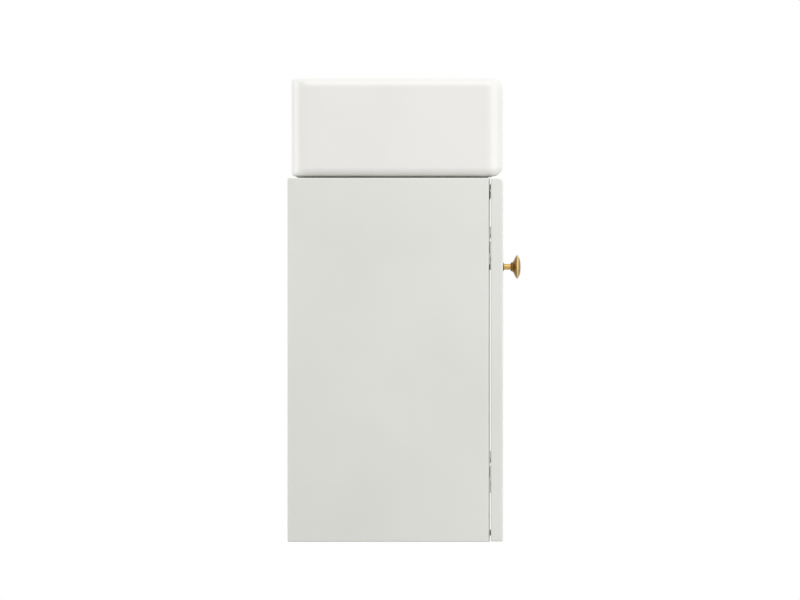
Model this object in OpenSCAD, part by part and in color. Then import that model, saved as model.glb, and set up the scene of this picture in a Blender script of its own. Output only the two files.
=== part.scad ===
// Wall-hung vanity unit: a glazed ceramic basin on a one-door cabinet that hooks onto two wall plates.
// Millimetres. +X is right as seen from the front, the front faces -Y, +Z is up, the wall is y = 0.
// The origin is the centre of the four screw holes in the wall plates.

/* [Cabinet] */
// Width over both side panels
cab_w = 400; // [370:1:600]
// Height of the side panels
cab_h = 495; // [470:1:700]
// Depth of the side panels, from the wall to the front edge
cab_d = 274; // [262:1:400]
// Thickness of the cabinet's boards
panel_t = 16; // [15:0.5:19]
// Radius on the lacquered edges
edge_r = 1.5; // [0.5:0.1:2]
// Height of the cabinet's top above the middle of the wall fixings
fixing_drop = 130; // [120:1:160]
// Gap between the waste and the front of the top panel's cut-out
top_cut_fit = 2.6; // [2:0.1:12]
// Distance from the wall to the top panel's cut-out
top_cut_rear = 36; // [34:1:60]
// Width of the board left at each end of the top panel's cut-out
top_cut_side = 54; // [40:1:70]
// Gap between the hooks and the rear rail above them
rail_gap = 6; // [4:1:10]

/* [Back panel and shelf] */
// Thickness of the back panel
back_t = 8; // [5:0.5:10]
// Depth of the service gap between the wall and the back panel
void_d = 18; // [17:0.5:19]
// Depth of the grooves that hold the back panel
groove_d = 6; // [3:0.5:8]
// Clearance on each side of a board in its groove
groove_fit = 0.15; // [0.05:0.05:0.4]
// Width of the pipe opening in the back panel
pipe_w = 220; // [120:1:240]
// Height of the pipe opening in the back panel
pipe_h = 190; // [100:1:220]
// Distance from the wall fixings down to the top of the pipe opening
pipe_drop = 36; // [10:1:60]
// Corner radius of the pipe opening and of the shelf's notch
pipe_r = 16; // [5:1:25]
// Distance from the wall fixings down to the underside of the shelf
shelf_drop = 170; // [140:1:190]
// Distance from the cabinet's front edge back to the shelf
shelf_set = 20; // [12:1:40]
// Clearance between the shelf and the boards around it
shelf_fit = 1; // [0.5:0.1:2]
// Width of the trap notch in the shelf
notch_w = 120; // [80:1:160]
// Depth of the trap notch in the shelf
notch_d = 110; // [60:1:130]
// Diameter of the shelf pins and their holes
pin_d = 5; // [4:0.5:6]
// Height between the rows of shelf pin holes
pin_pitch = 32; // [20:1:32]
// Distance from the front edge, and from the back panel, to the shelf pins
pin_in = 37; // [32:1:45]

/* [Fittings in the boards] */
// Diameter of the wooden dowels
dowel_d = 8; // [6:0.5:8]
// Length of the wooden dowels
dowel_l = 30; // [24:1:30]
// Depth of dowel in the side panel
dowel_in = 11; // [8:0.5:11]
// Clearance around and beyond the dowels and bolts
bore_fit = 0.1; // [0.05:0.05:0.3]
// Distance from the front edge to the front dowels
dowel_front = 30; // [24:1:40]
// Distance from the back panel to the rear dowels
dowel_rear = 22; // [16:1:30]
// Distance from the front edge to the front cams
cam_front = 64; // [56:1:72]
// Distance from the back panel to the rear cams
cam_rear = 58; // [50:1:66]
// Diameter of the cam locks
cam_d = 15; // [12:0.5:16]
// Height of the cam locks
cam_h = 12; // [11:0.5:12.5]
// Distance from the board's end to the middle of the cam
cam_in = 24; // [20:0.5:30]
// Diameter of the cam bolts
bolt_d = 6; // [5:0.5:7]

/* [Door] */
// Thickness of the door
door_t = 16; // [16:0.5:19]
// Gap between the cabinet's front edge and the door
door_gap = 2.5; // [2.5:0.1:4]
// Radius on the door's outer top edge
door_top_r = 6.5; // [3:0.5:8]
// How far the door stays inside the cabinet's outline
door_reveal = 0.5; // [0.3:0.1:1.5]
// Diameter of the round bumpers
bumper_d = 9; // [6:0.5:10]
// Distance from the door's corner edges to the bumpers
bumper_in = 12; // [8:0.5:20]
// Clearance between pieces that move past each other
run_fit = 0.3; // [0.2:0.05:0.4]

/* [Knob] */
// Diameter of the knob's head
knob_d = 33; // [26:0.5:40]
// How far the knob stands out from the door
knob_reach = 24; // [22:0.5:32]
// Diameter of the knob's stem
stem_d = 8; // [7:0.5:10]
// Length of the stem, from the door to the collar
stem_l = 10; // [9.5:0.5:12]
// Distance from the cabinet's top down to the knob
knob_drop = 121; // [60:1:200]
// Distance from the door's free edge to the knob
knob_in = 38; // [28:1:60]
// Diameter of the knob's screw
knob_screw_d = 4; // [3:0.5:5]

/* [Hinges] */
// Distance from the cabinet's top and bottom to the hinges
hinge_in = 95; // [86:1:96]
// Distance from the door's edge to the hinge pivot
pivot_in = 7; // [6.6:0.1:7.2]
// Depth of the hinge pivot below the door's inner face
pivot_depth = 9.5; // [9.5:0.1:9.6]
// Diameter of the hinge cup
cup_d = 35; // [34:0.5:36]
// Depth of the hinge cup
cup_depth = 13; // [13:0.1:13.4]
// Distance from the door's edge to the hinge cup
cup_in = 3; // [2.8:0.1:3.2]
// Thickness of the cup's wall and floor
cup_wall = 0.8; // [0.6:0.1:0.9]
// Diameter of the hinge pin
hinge_pin_d = 2.5; // [2:0.1:2.6]
// Width of the hinge arm where it turns on the pin
neck_w = 7; // [5:0.5:7]
// Width of the hinge arm on its plate
arm_w = 16; // [15:0.5:18]
// Thickness of the steel of the hinge arm
arm_t = 1.2; // [1:0.1:1.3]
// Distance from the front edge to the end of the hinge arm
arm_reach = 60; // [57:1:64]
// Height between the screws of a hinge plate
plate_pitch = 32; // [30:1:36]
// Distance from the front edge to the screws of a hinge plate
plate_in = 37; // [35:1:40]

/* [Catch] */
// Distance from the side panel to the catch
catch_in = 31; // [24:1:80]
// Width of the catch's body
catch_w = 46; // [36:1:50]
// Height of the catch's body
catch_h = 14; // [12:0.5:18]
// Depth of the catch's body
catch_d = 20; // [16:0.5:24]

/* [Basin] */
// Height of the basin's body
basin_h = 133.4; // [128:0.1:160]
// Gap between the cabinet's top and the basin's body
basin_lift = 2; // [1.5:0.1:4]
// How far the basin stays inside the cabinet's sides
basin_side_in = 5; // [2:0.5:8]
// How far the basin stays off the wall
basin_rear_in = 5.4; // [2:0.1:8]
// How far the basin's front stays behind the door's front
basin_front_in = 0.1; // [0:0.1:6]
// Radius on the front's top and bottom edges
basin_front_r = 14; // [6:0.5:16]
// Radius on the sides' top and bottom edges
basin_side_r = 12; // [6:0.5:13]
// Radius on the rear's top and bottom edges
basin_rear_r = 5; // [2:0.5:8]
// Radius of the four upright corners
basin_corner_r = 24; // [20:0.5:30]
// Thickness of the fired ceramic
ware_t = 12; // [10:0.5:14]
// Width of the rim beside the bowl
rim_side = 21; // [18:0.5:30]
// Width of the rim in front of the bowl
rim_front = 21; // [18:0.5:30]
// Depth of the tap deck behind the bowl
deck_d = 72; // [70:0.5:84]
// Depth of the bowl, from the rim to the edge of its floor
bowl_depth = 100; // [90:0.5:100]
// Fall of the bowl's floor to the waste
bowl_fall = 5; // [2:0.5:5]
// Radius between the bowl's walls and its floor
bowl_r = 38; // [20:0.5:42]
// Radius of the bowl's upright corners
bowl_corner_r = 62; // [58:0.5:70]
// Slope of the bowl's walls in degrees
bowl_draft = 4; // [2:0.5:5]
// Width of the softened edge around the bowl
mouth_r = 5; // [2:0.5:6]
// Distance from the basin's sides in to its foot
foot_side_in = 18; // [14:0.5:20]
// Distance from the basin's front in to its foot
foot_front_in = 14.4; // [14:0.1:20]
// Distance from the basin's rear in to its foot
foot_rear_in = 6; // [5:0.5:12]
// Width of the foot
foot_w = 12; // [8:0.5:14]
// Thickness of the sealant under the foot
seal_t = 1; // [0.5:0.1:1.4]
// Diameter of the tap hole
tap_d = 35; // [32:0.5:36]
// Gap between the tap hole and the overflow passage in front of it
tap_gap = 1; // [0.5:0.5:2]
// Diameter of the overflow hole
overflow_d = 22; // [18:0.5:24]
// Distance from the rim down to the overflow hole
overflow_drop = 40; // [38:0.5:44]
// Width of the overflow passage
duct_w = 30; // [26:1:36]
// Depth of the overflow passage behind the bowl
duct_d = 9; // [6:0.5:10]
// Thickness of the ceramic around the overflow passage
duct_wall = 6; // [5:0.5:7]

/* [Waste] */
// Diameter of the hole for the waste
drain_d = 46; // [44:0.5:48]
// How far the waste sits behind the middle of the bowl
drain_back = 9; // [0:1:16]
// Thickness of the ceramic at the waste
drain_t = 26; // [25:0.5:28]
// Diameter of the waste's threaded tail
tail_d = 41.9; // [38:0.1:42]
// Length of the waste below its flange
tail_l = 80; // [79:1:110]
// Length of the thread at the end of the tail
thread_l = 34; // [24:1:35]
// Diameter of the waste's flange
flange_d = 64; // [60:0.5:66]
// Diameter of the plug
plug_d = 59; // [54:0.5:59]
// Diameter of the plug's stem
plug_stem_d = 8; // [6:0.5:9]
// Distance from the waste's flange down to the end of the plug's stem
stem_drop = 40; // [37:1:50]
// Distance from the waste's flange down to the spider that guides the stem
hub_drop = 22; // [21:1:26]

/* [Wall fixing] */
// Width of a wall plate
plate_w = 44; // [36:1:50]
// Thickness of a wall plate
plate_t = 2; // [1.5:0.1:2.5]
// Height between the two holes of a wall plate
plate_holes = 32; // [28:1:34]
// Diameter of the holes in the wall plates
plate_hole_d = 6.5; // [5:0.5:8]
// Gap between a side panel and the wall plate
plate_gap = 2; // [1:0.5:6]
// Height of the wall plate's top edge above the fixings
ledge_z = 42; // [40:0.5:43]
// Distance from the wall to the back of the plate's turned edge
ledge_y = 6.5; // [6:0.1:7]
// Width of a hanger housing
hanger_w = 18; // [16:0.5:20]
// Depth of a hanger housing
hanger_d = 36; // [34:0.5:44]
// Height of a hanger housing
hanger_h = 56; // [50:0.5:60]
// Distance from a hanger housing's lower end to its lower screw
hanger_screw_low = 14; // [10:1:20]
// Distance from a hanger housing's upper end to its upper screw
hanger_screw_high = 10; // [8:1:14]
// Thickness of the steel hook
hook_t = 2.5; // [2:0.1:3]

/* [Hidden] */
$fn = 48;
SOFT_FN = 32;
EDGE_FN = 16;
// How far a cut runs past the face that it opens
past = 1;
// Thickness of a slice that a rounded form is stretched over, and the steps of a quarter round
slice_t = 0.02;
round_steps = 5;

// Boards
inner_x = cab_w / 2 - panel_t;
top_z = fixing_drop;
bottom_z = top_z - cab_h;
front_y = -cab_d;
under_top_z = top_z - panel_t;
floor_z = bottom_z + panel_t;
board_zs = [under_top_z, bottom_z];
board_rear_y = -1;
back_y = -void_d - back_t;
top_cut_x = inner_x - top_cut_side;
pipe_x = pipe_w / 2;

// Shelf and its pins
shelf_z = -shelf_drop;
shelf_rear_y = back_y - shelf_fit;
pin_z = shelf_z - pin_d / 2;
pin_ys = [front_y + pin_in, back_y - pin_in];
pin_rows = [-2:2];
pin_depth = 10;
pin_reach = 8;
collar_d = pin_d + 3;
collar_t = 1.2;

// Dowels, cams and bolts
dowel_ys = [front_y + dowel_front, back_y - dowel_rear];
cam_ys = [front_y + cam_front, back_y - cam_rear];
dowel_x = inner_x - dowel_l + dowel_in;
cam_x = inner_x - cam_in;
bolt_in = 9;
bolt_neck = 4;
blind_gap = 1;

// Wall fixing
hook_x = inner_x - hanger_w / 2;
hook_h = 12;
hook_top_z = ledge_z + hook_h;
hook_tip_y = -1.2;
hook_tip_d = 3;
hook_turn = 12;
hook_tip_z = ledge_z - hook_turn;
hook_slot = 2.5;
hanger_over = 4;
hanger_top_z = hook_top_z + hanger_over;
hanger_bottom_z = hanger_top_z - hanger_h;
hanger_front_y = back_y - hanger_d;
peg_d = 10;
peg_l = 10.5;
peg_y = back_y - hanger_d / 2;
peg_in = 12;
peg_zs = [hanger_bottom_z + peg_in, hanger_top_z - peg_in];
hanger_screw_d = 6;
hanger_screw_head = 9;
hanger_screw_l = 4.5;
hanger_screw_zs = [hanger_bottom_z + hanger_screw_low, hanger_top_z - hanger_screw_high];
plate_x = inner_x - plate_gap - plate_w / 2;
plate_over = 8;
plate_under = 10;
plate_top_z = plate_holes / 2 + plate_over;
plate_foot_z = -plate_holes / 2 - plate_under;

// Rear rail, on edge between the hooks and the top panel
rail_z = hook_top_z + rail_gap;
rail_y = -void_d + panel_t / 2;
rail_h = under_top_z - rail_z;
rail_dowel_zs = [rail_z + rail_h / 4, rail_z + 3 * rail_h / 4];

// Door, knob and bumpers
door_in_y = front_y - door_gap;
door_out_y = door_in_y - door_t;
door_edge_x = cab_w / 2 - door_reveal;
door_top_z = top_z - door_reveal;
door_bottom_z = bottom_z + door_reveal;
knob_at = [door_edge_x - knob_in, top_z - knob_drop];
knob_bore_l = 12;
knob_screw_head = 8;
knob_screw_head_h = 2.6;
knob_grip = 10;
knob_screw_l = door_t + knob_grip;
bumper_t = door_gap - run_fit;
bumper_at_x = inner_x + panel_t / 2;
bumper_zs = [door_bottom_z + bumper_in, door_top_z - bumper_in];

// Hinges
hinge_zs = [top_z - hinge_in, bottom_z + hinge_in];
pivot_x = -door_edge_x + pivot_in;
pivot_y = door_in_y - pivot_depth;
cup_fit = 0.1;
cup_r = cup_d / 2;
cup_inner_r = cup_r - cup_fit - cup_wall;
cup_x = -door_edge_x + cup_in + cup_r;
cup_floor_y = door_in_y - cup_depth + cup_fit;
cup_rim_t = 1;
cup_rim_y = door_in_y + cup_rim_t;
cup_rim_w = 1.8;
cup_screw_in = 9.5;
cup_screw_x = cup_x + cup_screw_in;
cup_screw_zs = [-22.5, 22.5];
cup_screw_d = 3;
cup_screw_head = 6.5;
cup_screw_l = 12;
cup_wing = 6;
eye_r = hinge_pin_d / 2 + 1.05;
lug_gap = 0.4;
lug_t = 3.6;
pin_half = neck_w / 2 + lug_gap + lug_t - 0.3;
leg_in = 11.9;
leg_x = pivot_x + leg_in;
leg_low_y = pivot_y - eye_r;
web_in = 9.9;
bend_in = 8.4;
web_x = -inner_x + web_in;
bend_y = front_y + bend_in;
web_y = bend_y + web_x - leg_x;
arm_end_y = front_y + arm_reach;
cheek_h = 4.8;
arm_screw_front = 11;
arm_screw_rear = 8;
arm_screw_ys = [web_y + arm_screw_front, arm_end_y - arm_screw_rear];
arm_screw_d = 5;
arm_screw_head = 8;
arm_screw_head_h = 2.4;
arm_screw_l = 7.5;
plate_y = front_y + plate_in;
wing_t = 2.2;
wing_y = 7;
wing_over = 8;
wing_z = plate_pitch / 2 + wing_over;
ridge_z = arm_w / 2 - arm_t - run_fit;
plate_screw_d = 6;
plate_screw_head = 10;
plate_screw_l = 12.5;

// Catch
strike_t = 1.5;
strike_w = 30;
strike_h = 10;
catch_x = inner_x - catch_in - catch_w / 2;
catch_z = under_top_z - catch_h / 2;
catch_front_y = door_in_y + strike_t + run_fit;
catch_ear_w = 11;
catch_core = catch_w / 2 - catch_ear_w;
catch_wall = 2;
catch_ear_t = 3;
catch_ear_l = 10;
catch_ear_in = 2;
catch_screw_in = 6;
catch_ear_y = catch_front_y + catch_d - catch_ear_in;
catch_ear_ys = [catch_ear_y - catch_ear_l, catch_ear_y];
catch_screw_xs = [catch_x - catch_w / 2 + catch_screw_in, catch_x + catch_w / 2 - catch_screw_in];
catch_screw_y = (catch_ear_ys[0] + catch_ear_ys[1]) / 2;
catch_screw_d = 3;
catch_screw_head = 6;
catch_screw_l = 12;
magnet_d = 14;
magnet_h = 6;
pole_t = 1.5;

// Basin
basin_x = cab_w / 2 - basin_side_in;
basin_rear_y = -basin_rear_in;
basin_front_y = door_out_y + basin_front_in;
basin_bottom_z = top_z + basin_lift;
basin_top_z = basin_bottom_z + basin_h;
foot_z = top_z + seal_t;
foot_x = basin_x - foot_side_in;
foot_front_y = basin_front_y + foot_front_in;
foot_rear_y = basin_rear_y - foot_rear_in;
foot_r = basin_corner_r - 4;
bead_in = 2;
hollow_r = basin_corner_r - ware_t;
hollow_top_z = basin_top_z - ware_t - 2;
turn_in_z = basin_bottom_z + ware_t;

// Bowl and waste hole
bowl_x = basin_x - rim_side;
bowl_front_y = basin_front_y + rim_front;
bowl_rear_y = basin_rear_y - deck_d;
bowl_floor_z = basin_top_z - bowl_depth;
bowl_wall_t = ware_t - 2;
drain_y = (bowl_front_y + bowl_rear_y) / 2 + drain_back;
drain_z = bowl_floor_z - bowl_fall;
drain_under_z = drain_z - drain_t;
drain_flat_w = 13;
drain_flat_r = drain_d / 2 + drain_flat_w;

// Overflow and tap hole
overflow_z = basin_top_z - overflow_drop;
overflow_y = bowl_rear_y - overflow_drop * tan(bowl_draft);
overflow_seat_y = overflow_y + 1;
overflow_flange = 3.5;
overflow_flange_t = 2;
overflow_tube_l = 6;
duct_front_y = bowl_rear_y + bowl_wall_t - 3.5;
duct_rear_y = duct_front_y + duct_d;
duct_floor_z = drain_under_z + 4;
duct_roof_z = duct_floor_z + 10;
tap_y = duct_rear_y + duct_wall + tap_gap + tap_d / 2;

// Waste
gasket_t = 1.5;
flange_t = 3;
washer_t = 5;
washer_lip = 4;
nut_t = 10;
nut_flange_t = 3;
nut_over = 14;
nut_d = drain_d + nut_over;
flange_z = drain_z + gasket_t;
flange_top_z = flange_z + flange_t;
tail_end_z = flange_z - tail_l;
tail_bore_r = tail_d / 2 - 3;
thread_relief = 1.5;
washer_z = drain_under_z - washer_t;
hub_z = flange_z - hub_drop;
hub_h = 10;
spoke_t = 3;
spoke_h = 6;
slot_w = 14;
cap_z = flange_top_z + run_fit;
cap_t = 2;
dome_h = 2.5;
dome_in = 7;
stem_end_z = flange_z - stem_drop;

// Plain box between two opposite corners
module box(lo, hi) {
    translate(lo) cube(hi - lo);
}

// Board between two opposite corners, with every edge rounded
module slab(lo, hi, r) {
    hull() {
        box(lo + [0, r, r], hi - [0, r, r]);
        box(lo + [r, 0, r], hi - [r, 0, r]);
        box(lo + [r, r, 0], hi - [r, r, 0]);
        for (x = [lo[0] + r, hi[0] - r], y = [lo[1] + r, hi[1] - r], z = [lo[2] + r, hi[2] - r])
            translate([x, y, z]) sphere(r, $fn = EDGE_FN);
    }
}

// Round bars and bores along each axis, between two coordinates and at a place in the other two
module bar_x(d, from, to, at) {
    translate([from, at[0], at[1]]) rotate([0, 90, 0]) cylinder(d = d, h = to - from);
}

module bar_y(d, from, to, at) {
    translate([at[0], from, at[1]]) rotate([-90, 0, 0]) cylinder(d = d, h = to - from);
}

module bar_z(d, from, to, at) {
    translate([at[0], at[1], from]) cylinder(d = d, h = to - from);
}

// The same piece on the right and, mirrored, on the left
module both_sides() {
    children();
    mirror([1, 0, 0]) children();
}

// Diameter of a bore that takes a round piece with clearance
function bore(d) = d + 2 * bore_fit;

// Rectangle with round corners, drawn flat and centred in X
module round_rectangle(x, low, high, r) {
    hull()
        for (cx = [r - x, x - r], cy = [low + r, high - r])
            translate([cx, cy]) circle(r);
}

// Cross for a screwdriver, cut down from z = 0
module cross_recess(w) {
    slot = w / 4;
    for (turn = [0, 90])
        rotate([0, 0, turn]) translate([-w / 2, -slot / 2, -slot]) cube([w, slot, 2 * slot]);
}

// Countersunk screw that points down -Z, with the top of its head at z = 0
module flat_screw(head_d, d, l) {
    head_h = (head_d - d) / 2;
    difference() {
        union() {
            translate([0, 0, -head_h]) cylinder(d1 = d, d2 = head_d, h = head_h);
            translate([0, 0, -l]) cylinder(d = d, h = l - head_h);
        }
        cross_recess(head_d * 0.6);
    }
}

// Seat for a countersunk screw, cut down from z = 0
module flat_seat(head_d, d) {
    head_h = (head_d - d) / 2;
    translate([0, 0, -head_h - bore_fit])
        cylinder(d1 = bore(d), d2 = bore(head_d) + 2 * bore_fit, h = head_h + 2 * bore_fit);
}

// Cheese-head screw that points down -Z, with its head above z = 0
module pan_screw(head_d, head_h, d, l) {
    difference() {
        union() {
            cylinder(d = head_d, h = head_h);
            translate([0, 0, -l]) cylinder(d = d, h = l);
        }
        translate([0, 0, head_h]) cross_recess(head_d * 0.6);
    }
}

// How far a round of radius r draws in at a height h from its tangent face
function round_in(r, h) = h >= r ? 0 : r - sqrt(r * r - (r - h) * (r - h));

// Thin slice of a rounded rectangle
module slice(x, front, rear, r, z) {
    for (cx = [r - x, x - r], cy = [front + r, rear - r])
        translate([cx, cy, z]) cylinder(r = r, h = slice_t, $fn = SOFT_FN);
}

// Upright block with a rounded rectangle for its plan
module plan_block(x, front, rear, r, z0, z1) {
    translate([0, 0, z0])
        linear_extrude(z1 - z0)
            round_rectangle(x, front, rear, r);
}

// The basin's outside: one convex form whose edges have their own radii
module basin_outside() {
    tallest = max(basin_front_r, basin_side_r);
    hull()
        for (step = [0:round_steps]) {
            h = tallest * (1 - cos(90 * step / round_steps));
            side = round_in(basin_side_r, h);
            front = basin_front_y + round_in(basin_front_r, h);
            rear = basin_rear_y - round_in(basin_rear_r, h);
            for (z = [basin_bottom_z + h, basin_top_z - h - slice_t])
                slice(basin_x - side, front, rear, basin_corner_r - side, z);
        }
}

// The bowl's form up to a height: its inside, or grown by the wall its outside
module bowl_form(grow, top) {
    r = bowl_r + grow;
    low = bowl_floor_z - grow;
    hull() {
        for (step = [0:round_steps + 1]) {
            h = step > round_steps ? top - low : r * (1 - cos(90 * step / round_steps));
            in = round_in(r, h) + max(0, basin_top_z - low - h) * tan(bowl_draft) - grow;
            slice(bowl_x - in, bowl_front_y + in, bowl_rear_y - in, bowl_corner_r - in, low + h);
        }
        translate([0, drain_y, low - bowl_fall])
            cylinder(r = drain_flat_r, h = slice_t, $fn = SOFT_FN);
    }
}

// Softened edge where the bowl meets the rim
module bowl_mouth() {
    hull()
        for (grow = [0, mouth_r])
            slice(bowl_x + grow, bowl_front_y - grow, bowl_rear_y + grow, bowl_corner_r + grow,
                  basin_top_z - mouth_r + grow);
}

// Passage that takes water from the overflow hole down and under the bowl to the waste
module overflow_duct(wall) {
    x = duct_w / 2 + wall;
    rear = duct_rear_y + wall;
    low = duct_floor_z - min(wall, duct_floor_z - drain_under_z);
    box([-x, duct_front_y - wall, low], [x, rear, overflow_z + overflow_d / 2 + wall]);
    box([-x, drain_y, low], [x, rear, duct_roof_z + wall / 3]);
}

// Hollow under the basin, wider above the turned-in foot
module basin_hollow() {
    difference() {
        union() {
            plan_block(basin_x - ware_t, basin_front_y + ware_t, basin_rear_y - ware_t, hollow_r,
                       turn_in_z, hollow_top_z);
            plan_block(foot_x - foot_w, foot_front_y + foot_w, foot_rear_y - foot_w, hollow_r,
                       top_z - past, turn_in_z + past);
        }
        bowl_form(bowl_wall_t, basin_top_z);
        bar_z(2 * drain_flat_r, drain_under_z, drain_z, [0, drain_y]);
        overflow_duct(duct_wall);
    }
}

// Ceramic basin with its bowl, tap deck, overflow passage and foot
module basin() {
    color("white") difference() {
        union() {
            basin_outside();
            plan_block(foot_x, foot_front_y, foot_rear_y, foot_r, foot_z, basin_bottom_z + past);
        }
        basin_hollow();
        bowl_form(0, basin_top_z + past);
        bowl_mouth();
        overflow_duct(0);
        bar_y(overflow_d, overflow_y - 3 * past, duct_rear_y - past, [0, overflow_z]);
        bar_y(bore(overflow_d + 2 * overflow_flange), overflow_y - overflow_d, overflow_seat_y,
              [0, overflow_z]);
        bar_z(drain_d, drain_under_z - past, drain_z + past, [0, drain_y]);
        bar_z(tap_d, hollow_top_z - past, basin_top_z + past, [0, tap_y]);
    }
}

// Bead of silicone sealant between the foot and the top panel
module basin_sealant() {
    w = foot_w - 2 * bead_in;
    x = foot_x - bead_in;
    front = max(foot_front_y, front_y) + bead_in;
    rear = foot_rear_y - bead_in;
    r = foot_r - bead_in;
    color("whitesmoke") difference() {
        plan_block(x, front, rear, r, top_z, foot_z);
        plan_block(x - w, front + w, rear - w, r - w, top_z - past, foot_z + past);
    }
}

// Chromed ring that trims the overflow hole
module overflow_ring() {
    ring_wall = 2;
    at = [0, overflow_z];
    color("silver") difference() {
        union() {
            bar_y(overflow_d + 2 * overflow_flange, overflow_seat_y - overflow_flange_t, overflow_seat_y, at);
            bar_y(overflow_d - 2 * bore_fit, overflow_seat_y - past, overflow_seat_y + overflow_tube_l, at);
        }
        bar_y(overflow_d - 2 * ring_wall, overflow_seat_y - overflow_flange_t - past,
              overflow_seat_y + overflow_tube_l + past, at);
    }
}

// Waste with its flange, threaded tail, overflow slots and the spider that guides the plug
module waste_body() {
    at = [0, drain_y];
    thread_z = tail_end_z + thread_l;
    color("silver") difference() {
        union() {
            bar_z(flange_d, flange_z, flange_top_z, at);
            bar_z(tail_d, tail_end_z, thread_z, at);
            bar_z(tail_d - thread_relief, thread_z - past, thread_z + thread_relief, at);
            bar_z(tail_d, thread_z + thread_relief, flange_z + past, at);
        }
        difference() {
            bar_z(2 * tail_bore_r, tail_end_z - past, flange_top_z + past, at);
            bar_z(plug_stem_d + spoke_h, hub_z - hub_h, hub_z, at);
            for (turn = [0:120:240])
                translate([0, drain_y, hub_z - spoke_h]) rotate([0, 0, turn])
                    translate([0, -spoke_t / 2, 0]) cube([tail_d / 2 - past, spoke_t, spoke_h]);
        }
        bar_z(plug_stem_d + 2 * run_fit, hub_z - hub_h - past, hub_z + past, at);
        box([-slot_w / 2, drain_y - tail_d, duct_floor_z + past],
            [slot_w / 2, drain_y + tail_d, duct_roof_z - past]);
    }
}

// Ring around the waste between two diameters and two heights
module waste_ring(inner_d, outer_d, z0, z1) {
    difference() {
        bar_z(outer_d, z0, z1, [0, drain_y]);
        bar_z(inner_d, z0 - past, z1 + past, [0, drain_y]);
    }
}

// Upper gasket, under the waste's flange
module waste_gasket() {
    color("dimgray") waste_ring(bore(tail_d), flange_d - 4, drain_z, flange_z);
}

// Lower washer, under the ceramic, with a tapered lip that centres it in the hole
module waste_washer() {
    lip_z = washer_z + washer_t;
    color("dimgray") difference() {
        union() {
            bar_z(flange_d, washer_z, lip_z, [0, drain_y]);
            translate([0, drain_y, lip_z]) cylinder(d1 = drain_d - 1, d2 = tail_d + 1, h = washer_lip);
        }
        bar_z(bore(tail_d), washer_z - past, lip_z + washer_lip + past, [0, drain_y]);
    }
}

// Flanged back nut that pulls the waste down
module waste_nut() {
    color("gainsboro") difference() {
        union() {
            bar_z(flange_d - 2, washer_z - nut_flange_t, washer_z, [0, drain_y]);
            translate([0, drain_y, washer_z - nut_t]) cylinder(d = nut_d, h = nut_t, $fn = 6);
        }
        bar_z(bore(tail_d), washer_z - nut_t - past, washer_z + past, [0, drain_y]);
    }
}

// Domed plug on its stem, which is pressed once to shut and once to rise
module waste_plug() {
    color("silver") union() {
        bar_z(plug_d, cap_z, cap_z + cap_t, [0, drain_y]);
        translate([0, drain_y, cap_z + cap_t]) cylinder(d1 = plug_d, d2 = plug_d - 2 * dome_in, h = dome_h);
        bar_z(plug_stem_d, stem_end_z, cap_z + past, [0, drain_y]);
    }
}

// Rubber ring under the plug, which closes the waste's mouth
module plug_seal() {
    seal_h = 2;
    color("dimgray") difference() {
        bar_z(2 * (tail_bore_r - run_fit), cap_z - seal_h, cap_z, [0, drain_y]);
        bar_z(bore(plug_stem_d), cap_z - seal_h - past, cap_z + past, [0, drain_y]);
    }
}

// Bores in the right end of a flat board: dowels, cam bolts and cam pockets from its underside
module board_end_bores(z) {
    mid = z + panel_t / 2;
    for (y = dowel_ys)
        bar_x(bore(dowel_d), dowel_x - blind_gap, inner_x + past, [y, mid]);
    for (y = cam_ys) {
        bar_x(bore(bolt_d), cam_x, inner_x + past, [y, mid]);
        bar_z(bore(cam_d), z - past, z + cam_h + bore_fit, [cam_x, y]);
    }
}

// Side panel on the right, before any hinge holes
module side_board() {
    difference() {
        slab([inner_x, front_y, bottom_z], [cab_w / 2, 0, top_z], edge_r);
        box([inner_x - past, back_y - groove_fit, floor_z - groove_d],
            [inner_x + groove_d, -void_d + groove_fit, under_top_z + groove_d]);
        for (z = board_zs, y = dowel_ys)
            bar_x(bore(dowel_d), inner_x - past, inner_x + dowel_in + blind_gap, [y, z + panel_t / 2]);
        for (z = board_zs, y = cam_ys)
            bar_x(bore(bolt_d), inner_x - past, inner_x + bolt_in + blind_gap, [y, z + panel_t / 2]);
        for (z = rail_dowel_zs)
            bar_x(bore(dowel_d), inner_x - past, inner_x + dowel_in + blind_gap, [rail_y, z]);
        for (y = pin_ys, row = pin_rows)
            bar_x(bore(pin_d), inner_x - past, inner_x + pin_depth + blind_gap, [y, pin_z + row * pin_pitch]);
        for (z = peg_zs)
            bar_x(bore(peg_d), inner_x - past, inner_x + peg_l + blind_gap / 2, [peg_y, z]);
    }
}

module side_panel_right() {
    color("lightgray") side_board();
}

// The left side also holds the hinge plates
module side_panel_left() {
    color("lightgray") difference() {
        mirror([1, 0, 0]) side_board();
        for (z = hinge_zs, s = [-1, 1])
            bar_x(bore(plate_screw_d), wing_t - inner_x - plate_screw_l - blind_gap, past - inner_x,
                  [plate_y, z + s * plate_pitch / 2]);
    }
}

// Groove across a board for the back panel
module back_slot(z0, z1) {
    box([-inner_x - past, back_y - groove_fit, z0], [inner_x + past, -void_d + groove_fit, z1]);
}

// Top panel with a cut-out for the waste and the tap's hoses
module top_panel() {
    color("gainsboro") difference() {
        box([-inner_x, front_y, under_top_z], [inner_x, board_rear_y, top_z]);
        translate([0, 0, under_top_z - past]) linear_extrude(panel_t + 2 * past)
            round_rectangle(top_cut_x, drain_y - flange_d / 2 - top_cut_fit, -top_cut_rear, pipe_r);
        back_slot(under_top_z - past, under_top_z + groove_d);
        both_sides() board_end_bores(under_top_z);
        for (x = catch_screw_xs)
            bar_z(bore(catch_screw_d), under_top_z - past,
                  under_top_z + catch_screw_l - catch_ear_t + blind_gap, [x, catch_screw_y]);
    }
}

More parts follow.
